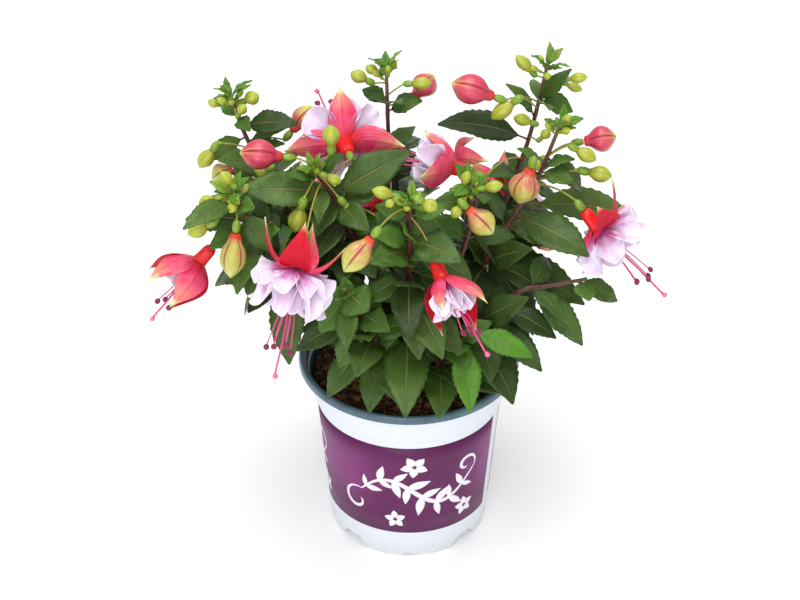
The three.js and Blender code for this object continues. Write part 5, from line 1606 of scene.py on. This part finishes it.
def add_sepal(shape, sepal):
    """One sepal: pink outside, crimson inside, keeled and a little waved at its edges."""
    columns, rows = 20, 14

    def place(u, v):
        angle = np.pi * u
        x, swell = -np.cos(angle), np.sin(angle)
        edge = 1 - 0.03 * np.sin(9 * v) * x
        thick = SEPAL_THICKNESS * (1 - 0.55 * v) * np.where(swell > 0, 1.0, 0.35) * swell
        return sepal_sheet(sepal, v, x * edge, thick + 0.3 * np.sin(7 * v + 2 * x) * abs(x) * v)
    verts = shape.sheet(columns, rows, place, ripe=lambda v: v)
    faces = {face for vert in verts for face in vert.link_faces}
    for face in faces:
        across = sum(loop[shape.uv].uv.x for loop in face.loops) / len(face.loops)
        face.material_index = 0 if across > 0.5 else 1
        for loop in face.loops:
            turn = loop[shape.uv].uv.x * 2 - 1
            loop[shape.uv].uv.x = (1 - math.cos(math.pi * turn)) / 2
    bmesh.ops.remove_doubles(shape.bm, verts=verts, dist=1e-6)


def sepal_sheet(sepal, s, x, height):
    """As the solid's sepal, with a base broad enough to meet its neighbours."""
    base = SEPAL_BASE * np.clip(1 - 2.4 * s, 0, 1)
    half = sepal["half"] * sepal_outline(s)
    return sepal_points(sepal, s, x * np.maximum(half, base) / np.maximum(half, 1e-6), height)


def make_corollas(look):
    skin = petal_skin(look)
    for bloom in PLANT.blooms:
        shape = Shape()
        outer, inner = bloom["petals"]
        fuller = dict(bloom, petals=(outer + 2, inner + 2 if inner else 4),
                      length=bloom["length"] * PETAL_SIZE.get(bloom["name"], 1),
                      flare=bloom["flare"] * PETAL_SPREAD.get(bloom["name"], 1))
        for petal in petal_list(fuller) + inner_ruffle(fuller):
            add_petal(shape, bloom, petal)
        name = bloom["name"]
        piece = shape.piece(f"{name}_petals", [skin], [f"{name}_corolla"], "petal")
        thicken(piece, PETAL_THICKNESS * MM, 0)
        soften(piece)


def inner_ruffle(bloom):
    """Petals of a third row, short and crumpled."""
    count = bloom["petals"][1]
    return [dict(angle=2 * math.pi * (k + 0.25) / count,
                 length=bloom["length"] * (0.8 * bloom["inner"] + 0.05 * (k % 2)),
                 start=math.radians(24), flare=math.radians(bloom["flare"] * 0.15),
                 half=bloom["length"] * 1.2 / count, room=0.95 * math.tan(math.pi / count), base=3,
                 row=2, phase=2.1 * k + 2) for k in range(count)]


def add_petal(shape, bloom, petal):
    """One petal with a rounded end, folded and crumpled more towards its edge."""
    columns, rows = 16, 14
    overlap = PETAL_OVERLAP[petal["row"]]

    def place(u, v):
        smooth = petal_points(bloom, petal, 0.02 + 0.98 * v, u, overlap, **PETAL_END)
        return smooth + crumple(bloom, petal, u, v)
    shape.sheet(columns, rows, place)


def crumple(bloom, petal, u, v):
    """Folds along a petal and small waves at its edge, across its own face."""
    bend = petal["start"] + (petal["flare"] - petal["start"]) * v
    out = radial(bloom, petal["angle"])
    normal = np.outer(np.cos(bend), out) - np.outer(np.sin(bend), bloom["axis"])
    phase = petal["phase"]
    folds = (np.sin(6.2 * u + 2.3 * phase) * v ** 1.6 * 0.036
             + np.sin(12 * u + 3.1 * phase) * v ** 5 * 0.014
             + np.sin(4.1 * u * v + 5 * v + phase) * v * 0.018
             + 0.06 * v ** 6)
    return normal * (petal["length"] * folds)[:, None]


def make_stamens(look):
    materials = [filament_skin(look), anther_skin(look), stigma_skin()]
    for bloom in PLANT.blooms:
        shape = Shape()
        core = CORE["double"] if bloom["petals"][1] else CORE["single"]
        start = bloom["throat"] + bloom["axis"] * (core + CLEARANCE)
        shape.turned(start, bloom["axis"], STAMEN_FOOT, 12)
        for begin, end, is_style in filament_lines(bloom):
            add_filament(shape, begin, end, is_style)
        name = bloom["name"]
        shape.piece(f"{name}_threads", materials, [f"{name}_stamens"], "stamen")


def add_filament(shape, begin, end, is_style):
    """A thread with its anther, or the style with its knob."""
    forward = unit(end - begin)
    side = side_of(forward)
    line = [mix(begin, end, t / 12) + side * 0.35 * math.sin(2.4 * math.pi * t / 12)
            for t in range(13)]
    if is_style:
        shape.pipe(line, [0.75] + [0.55] * 12, 8)
        shape.turned(end, forward, STIGMA, 12, lobes=(4, 0.12), material=2)
    else:
        shape.pipe(line, [0.5] + [0.36] * 12, 7)
        shape.turned(end, forward, ANTHER, 12, lobes=(2, 0.22), material=1)


# --------------------------------------------------------------------------- stage
def make_stage(look):
    bm = bmesh.new()
    bmesh.ops.create_grid(bm, x_segments=8, y_segments=8, size=FLOOR_HALF)
    floor = object_from("floor", bm)
    floor.data.materials.append(floor_paper(look))
    world = bpy.data.worlds.new("Studio")
    bpy.context.scene.world = world
    world.use_nodes = True
    world.node_tree.nodes["Background"].inputs["Color"].default_value = (1, 1, 1, 1)
    world.node_tree.nodes["Background"].inputs["Strength"].default_value = look.world
    for name, place, share in LIGHTS:
        light = bpy.data.lights.new(name, "AREA")
        light.size, light.energy = LIGHT_SIZE, look.key * share
        put(name, light, Vector(place), Vector(LIGHT_TARGET))
    lens = bpy.data.cameras.new("camera")
    lens.lens, lens.sensor_width = look.lens, CAMERA_SENSOR
    lens.clip_start, lens.clip_end = CAMERA_CLIP
    aim = Vector(CAMERA_AIM) * MM
    rise = math.radians(CAMERA_RISE)
    place = aim + Vector((0, -math.cos(rise), math.sin(rise))) * look.distance
    bpy.context.scene.camera = put("camera", lens, place, aim)
    bpy.context.scene.view_settings.view_transform = "Standard"


def put(name, data, place, target):
    """A light or camera at a place, turned to its target."""
    made = bpy.data.objects.new(name, data)
    made.location = place
    made.rotation_euler = (target - place).to_track_quat("-Z", "Y").to_euler()
    bpy.context.scene.collection.objects.link(made)
    return made


# --------------------------------------------------------------------------- the add-on
def colour(name, description, code):
    return FloatVectorProperty(name=name, description=description, subtype="COLOR", size=4,
                               min=0, max=1, default=srgb(code))


def number(name, description, default, **limits):
    return FloatProperty(name=name, description=description, default=default, **limits)


class FuchsiaPotLook(bpy.types.PropertyGroup):
    """Colours of the pot, its label and the soil."""
    plastic: colour("Plastic", "White of the pot's wall", "#DFE3EA")
    lip: colour("Lip", "Lip and inside of the pot", "#3A5668")
    label: colour("Label", "Ground of the label", "#5C1650")
    label_band: colour("Label glow", "Lighter glow on the label", "#86307A")
    peat: colour("Peat", "Dark of the soil", "#1C120D")
    peat_light: colour("Light peat", "Lighter soil", "#4C3222")


class FuchsiaFoliageLook(bpy.types.PropertyGroup):
    """Colours of leaves, stems and green buds."""
    leaf: colour("Leaf", "Upper face of an old leaf", "#2F4A16")
    leaf_light: colour("Light leaf", "Lighter blotches of the upper face", "#587630")
    # A darker green for leaves that are dark at random, and the painted shade of leaves deep inside
    # the plant.
    leaf_dark_and_painted_shade: colour("Deep leaf", "Upper face of a leaf deep inside the plant", "#1E2E10")
    tuft_leaf: colour("Tuft leaf", "Small leaves that open at the shoots' tips", "#86A436")
    young_leaf: colour("Young leaf", "Upper face of a fresh leaf", "#528A20")
    leaf_back: colour("Under face", "Under face of a leaf", "#88A066")
    rib: colour("Red rib", "Midrib of leaves high on the plant", "#8E6A50")
    stem: colour("Stem", "Old stems and leaf stalks", "#44241A")
    stem_tip: colour("Stem tip", "Young ends of the stems", "#6E7A34")
    ovary: colour("Ovary", "Ovaries and flower stalks", "#5C8E28")
    green_bud: colour("Green bud", "Small buds", "#AEBE3A")


class FuchsiaFlowerLook(bpy.types.PropertyGroup):
    """Colours of buds and blooms."""
    tube: colour("Tube", "Tube of the calyx", "#E81816")
    sepal: colour("Sepal", "Outside of the sepals", "#EE2A5C")
    sepal_vein: colour("Sepal vein", "Middle seam and veins of the sepals", "#A4183A")
    sepal_inside: colour("Sepal inside", "Inside of the sepals", "#C0081E")
    sepal_tip: colour("Sepal tip", "Tips of the sepals", "#E8DC9A")
    petal: colour("Petal", "Ground of the petals", "#F0DEF3")
    petal_base: colour("Petal base", "Petals near the throat", "#DC62B2")
    petal_vein: colour("Petal vein", "Veins of the petals", "#DE8AC8")
    filament: colour("Filament", "Stamens and style", "#C01452")
    filament_tip: colour("Filament end", "Far ends of stamens and style", "#DC4A8C")
    anther: colour("Anther", "Anthers", "#7E0E3C")
    bud: colour("Bud", "Ripe bud", "#C83450")
    bud_neck: colour("Bud neck", "Tube of a bud", "#DC3420")
    bud_tip: colour("Bud tip", "Tip of a bud", "#C8CC6A")
    unripe_bud: colour("Unripe bud", "Bud before it turns pink", "#BCC058")


class FuchsiaStageLook(bpy.types.PropertyGroup):
    """Floor, light and camera."""
    floor: colour("Floor", "Paper under the pot", "#FBFBFC")
    world: number("Sky", "Strength of the light from all round", 0.52, min=0)
    glow: number("Floor glow", "How much the paper shines by itself", 0.14, min=0)
    key: number("Key light", "Power of the main light", 13.5, min=0, unit="POWER")
    lens: number("Lens", "Focal length of the camera in millimetres", 129.6, min=10)
    distance: number("Distance", "From the camera to the plant", 1.546, min=0.3, unit="LENGTH")


class FuchsiaSettings(bpy.types.PropertyGroup):
    """All settings of the plant."""
    pot: PointerProperty(type=FuchsiaPotLook)
    foliage: PointerProperty(type=FuchsiaFoliageLook)
    flowers: PointerProperty(type=FuchsiaFlowerLook)
    stage: PointerProperty(type=FuchsiaStageLook)


class FUCHSIA_OT_pot(bpy.types.Operator):
    """Make the pot with its rolled lip, feet, arches and drainage holes"""
    bl_idname = "fuchsia.pot"
    bl_label = "Pot"

    def execute(self, context):
        make_pot(context.scene.fuchsia.pot)
        return {"FINISHED"}


class FUCHSIA_OT_label(bpy.types.Operator):
    """Wrap the printed label round the pot"""
    bl_idname = "fuchsia.label"
    bl_label = "Label"

    def execute(self, context):
        make_label(context.scene.fuchsia.pot)
        return {"FINISHED"}


class FUCHSIA_OT_soil(bpy.types.Operator):
    """Fill the pot with peat, crumbs and fibres"""
    bl_idname = "fuchsia.soil"
    bl_label = "Soil"

    def execute(self, context):
        make_soil(context.scene.fuchsia.pot)
        return {"FINISHED"}


class FUCHSIA_OT_shoots(bpy.types.Operator):
    """Grow the stems, leaves, stalks, ovaries and green buds"""
    bl_idname = "fuchsia.shoots"
    bl_label = "Shoots"

    def execute(self, context):
        make_shoots(context.scene.fuchsia.foliage)
        return {"FINISHED"}


class FUCHSIA_OT_buds(bpy.types.Operator):
    """Make the swollen buds"""
    bl_idname = "fuchsia.buds"
    bl_label = "Buds"

    def execute(self, context):
        make_buds(context.scene.fuchsia.flowers)
        return {"FINISHED"}


class FUCHSIA_OT_calyces(bpy.types.Operator):
    """Make each bloom's tube and sepals"""
    bl_idname = "fuchsia.calyces"
    bl_label = "Calyces"

    def execute(self, context):
        make_calyces(context.scene.fuchsia.flowers)
        return {"FINISHED"}


class FUCHSIA_OT_corollas(bpy.types.Operator):
    """Make each bloom's petals"""
    bl_idname = "fuchsia.corollas"
    bl_label = "Corollas"

    def execute(self, context):
        make_corollas(context.scene.fuchsia.flowers)
        return {"FINISHED"}


class FUCHSIA_OT_stamens(bpy.types.Operator):
    """Make each bloom's stamens and style"""
    bl_idname = "fuchsia.stamens"
    bl_label = "Stamens"

    def execute(self, context):
        make_stamens(context.scene.fuchsia.flowers)
        return {"FINISHED"}


class FUCHSIA_OT_stage(bpy.types.Operator):
    """Set the floor, the lights and the camera"""
    bl_idname = "fuchsia.stage"
    bl_label = "Stage"

    def execute(self, context):
        make_stage(context.scene.fuchsia.stage)
        return {"FINISHED"}


PROPERTIES = (FuchsiaPotLook, FuchsiaFoliageLook, FuchsiaFlowerLook, FuchsiaStageLook, FuchsiaSettings)
OPERATORS = (FUCHSIA_OT_pot, FUCHSIA_OT_label, FUCHSIA_OT_soil, FUCHSIA_OT_shoots, FUCHSIA_OT_buds,
             FUCHSIA_OT_calyces, FUCHSIA_OT_corollas, FUCHSIA_OT_stamens, FUCHSIA_OT_stage)


class FUCHSIA_PT_panel(bpy.types.Panel):
    """Lists the pieces and their settings"""
    bl_label = "Fuchsia"
    bl_space_type = "VIEW_3D"
    bl_region_type = "UI"
    bl_category = "Fuchsia"

    def draw(self, context):
        column = self.layout.column()
        for operator in OPERATORS:
            column.operator(operator.bl_idname)
        for part in (context.scene.fuchsia.pot, context.scene.fuchsia.foliage,
                     context.scene.fuchsia.flowers, context.scene.fuchsia.stage):
            for name in part.__annotations__:
                column.prop(part, name)


def register():
    for item in (*PROPERTIES, *OPERATORS, FUCHSIA_PT_panel):
        bpy.utils.register_class(item)
    bpy.types.Scene.fuchsia = PointerProperty(type=FuchsiaSettings)


def unregister():
    del bpy.types.Scene.fuchsia
    for item in reversed((*PROPERTIES, *OPERATORS, FUCHSIA_PT_panel)):
        bpy.utils.unregister_class(item)


def main():
    register()
    for operator in OPERATORS:
        group, name = operator.bl_idname.split(".")
        getattr(getattr(bpy.ops, group), name)()
    bpy.context.view_layer.update()


if __name__ == "__main__":
    main()
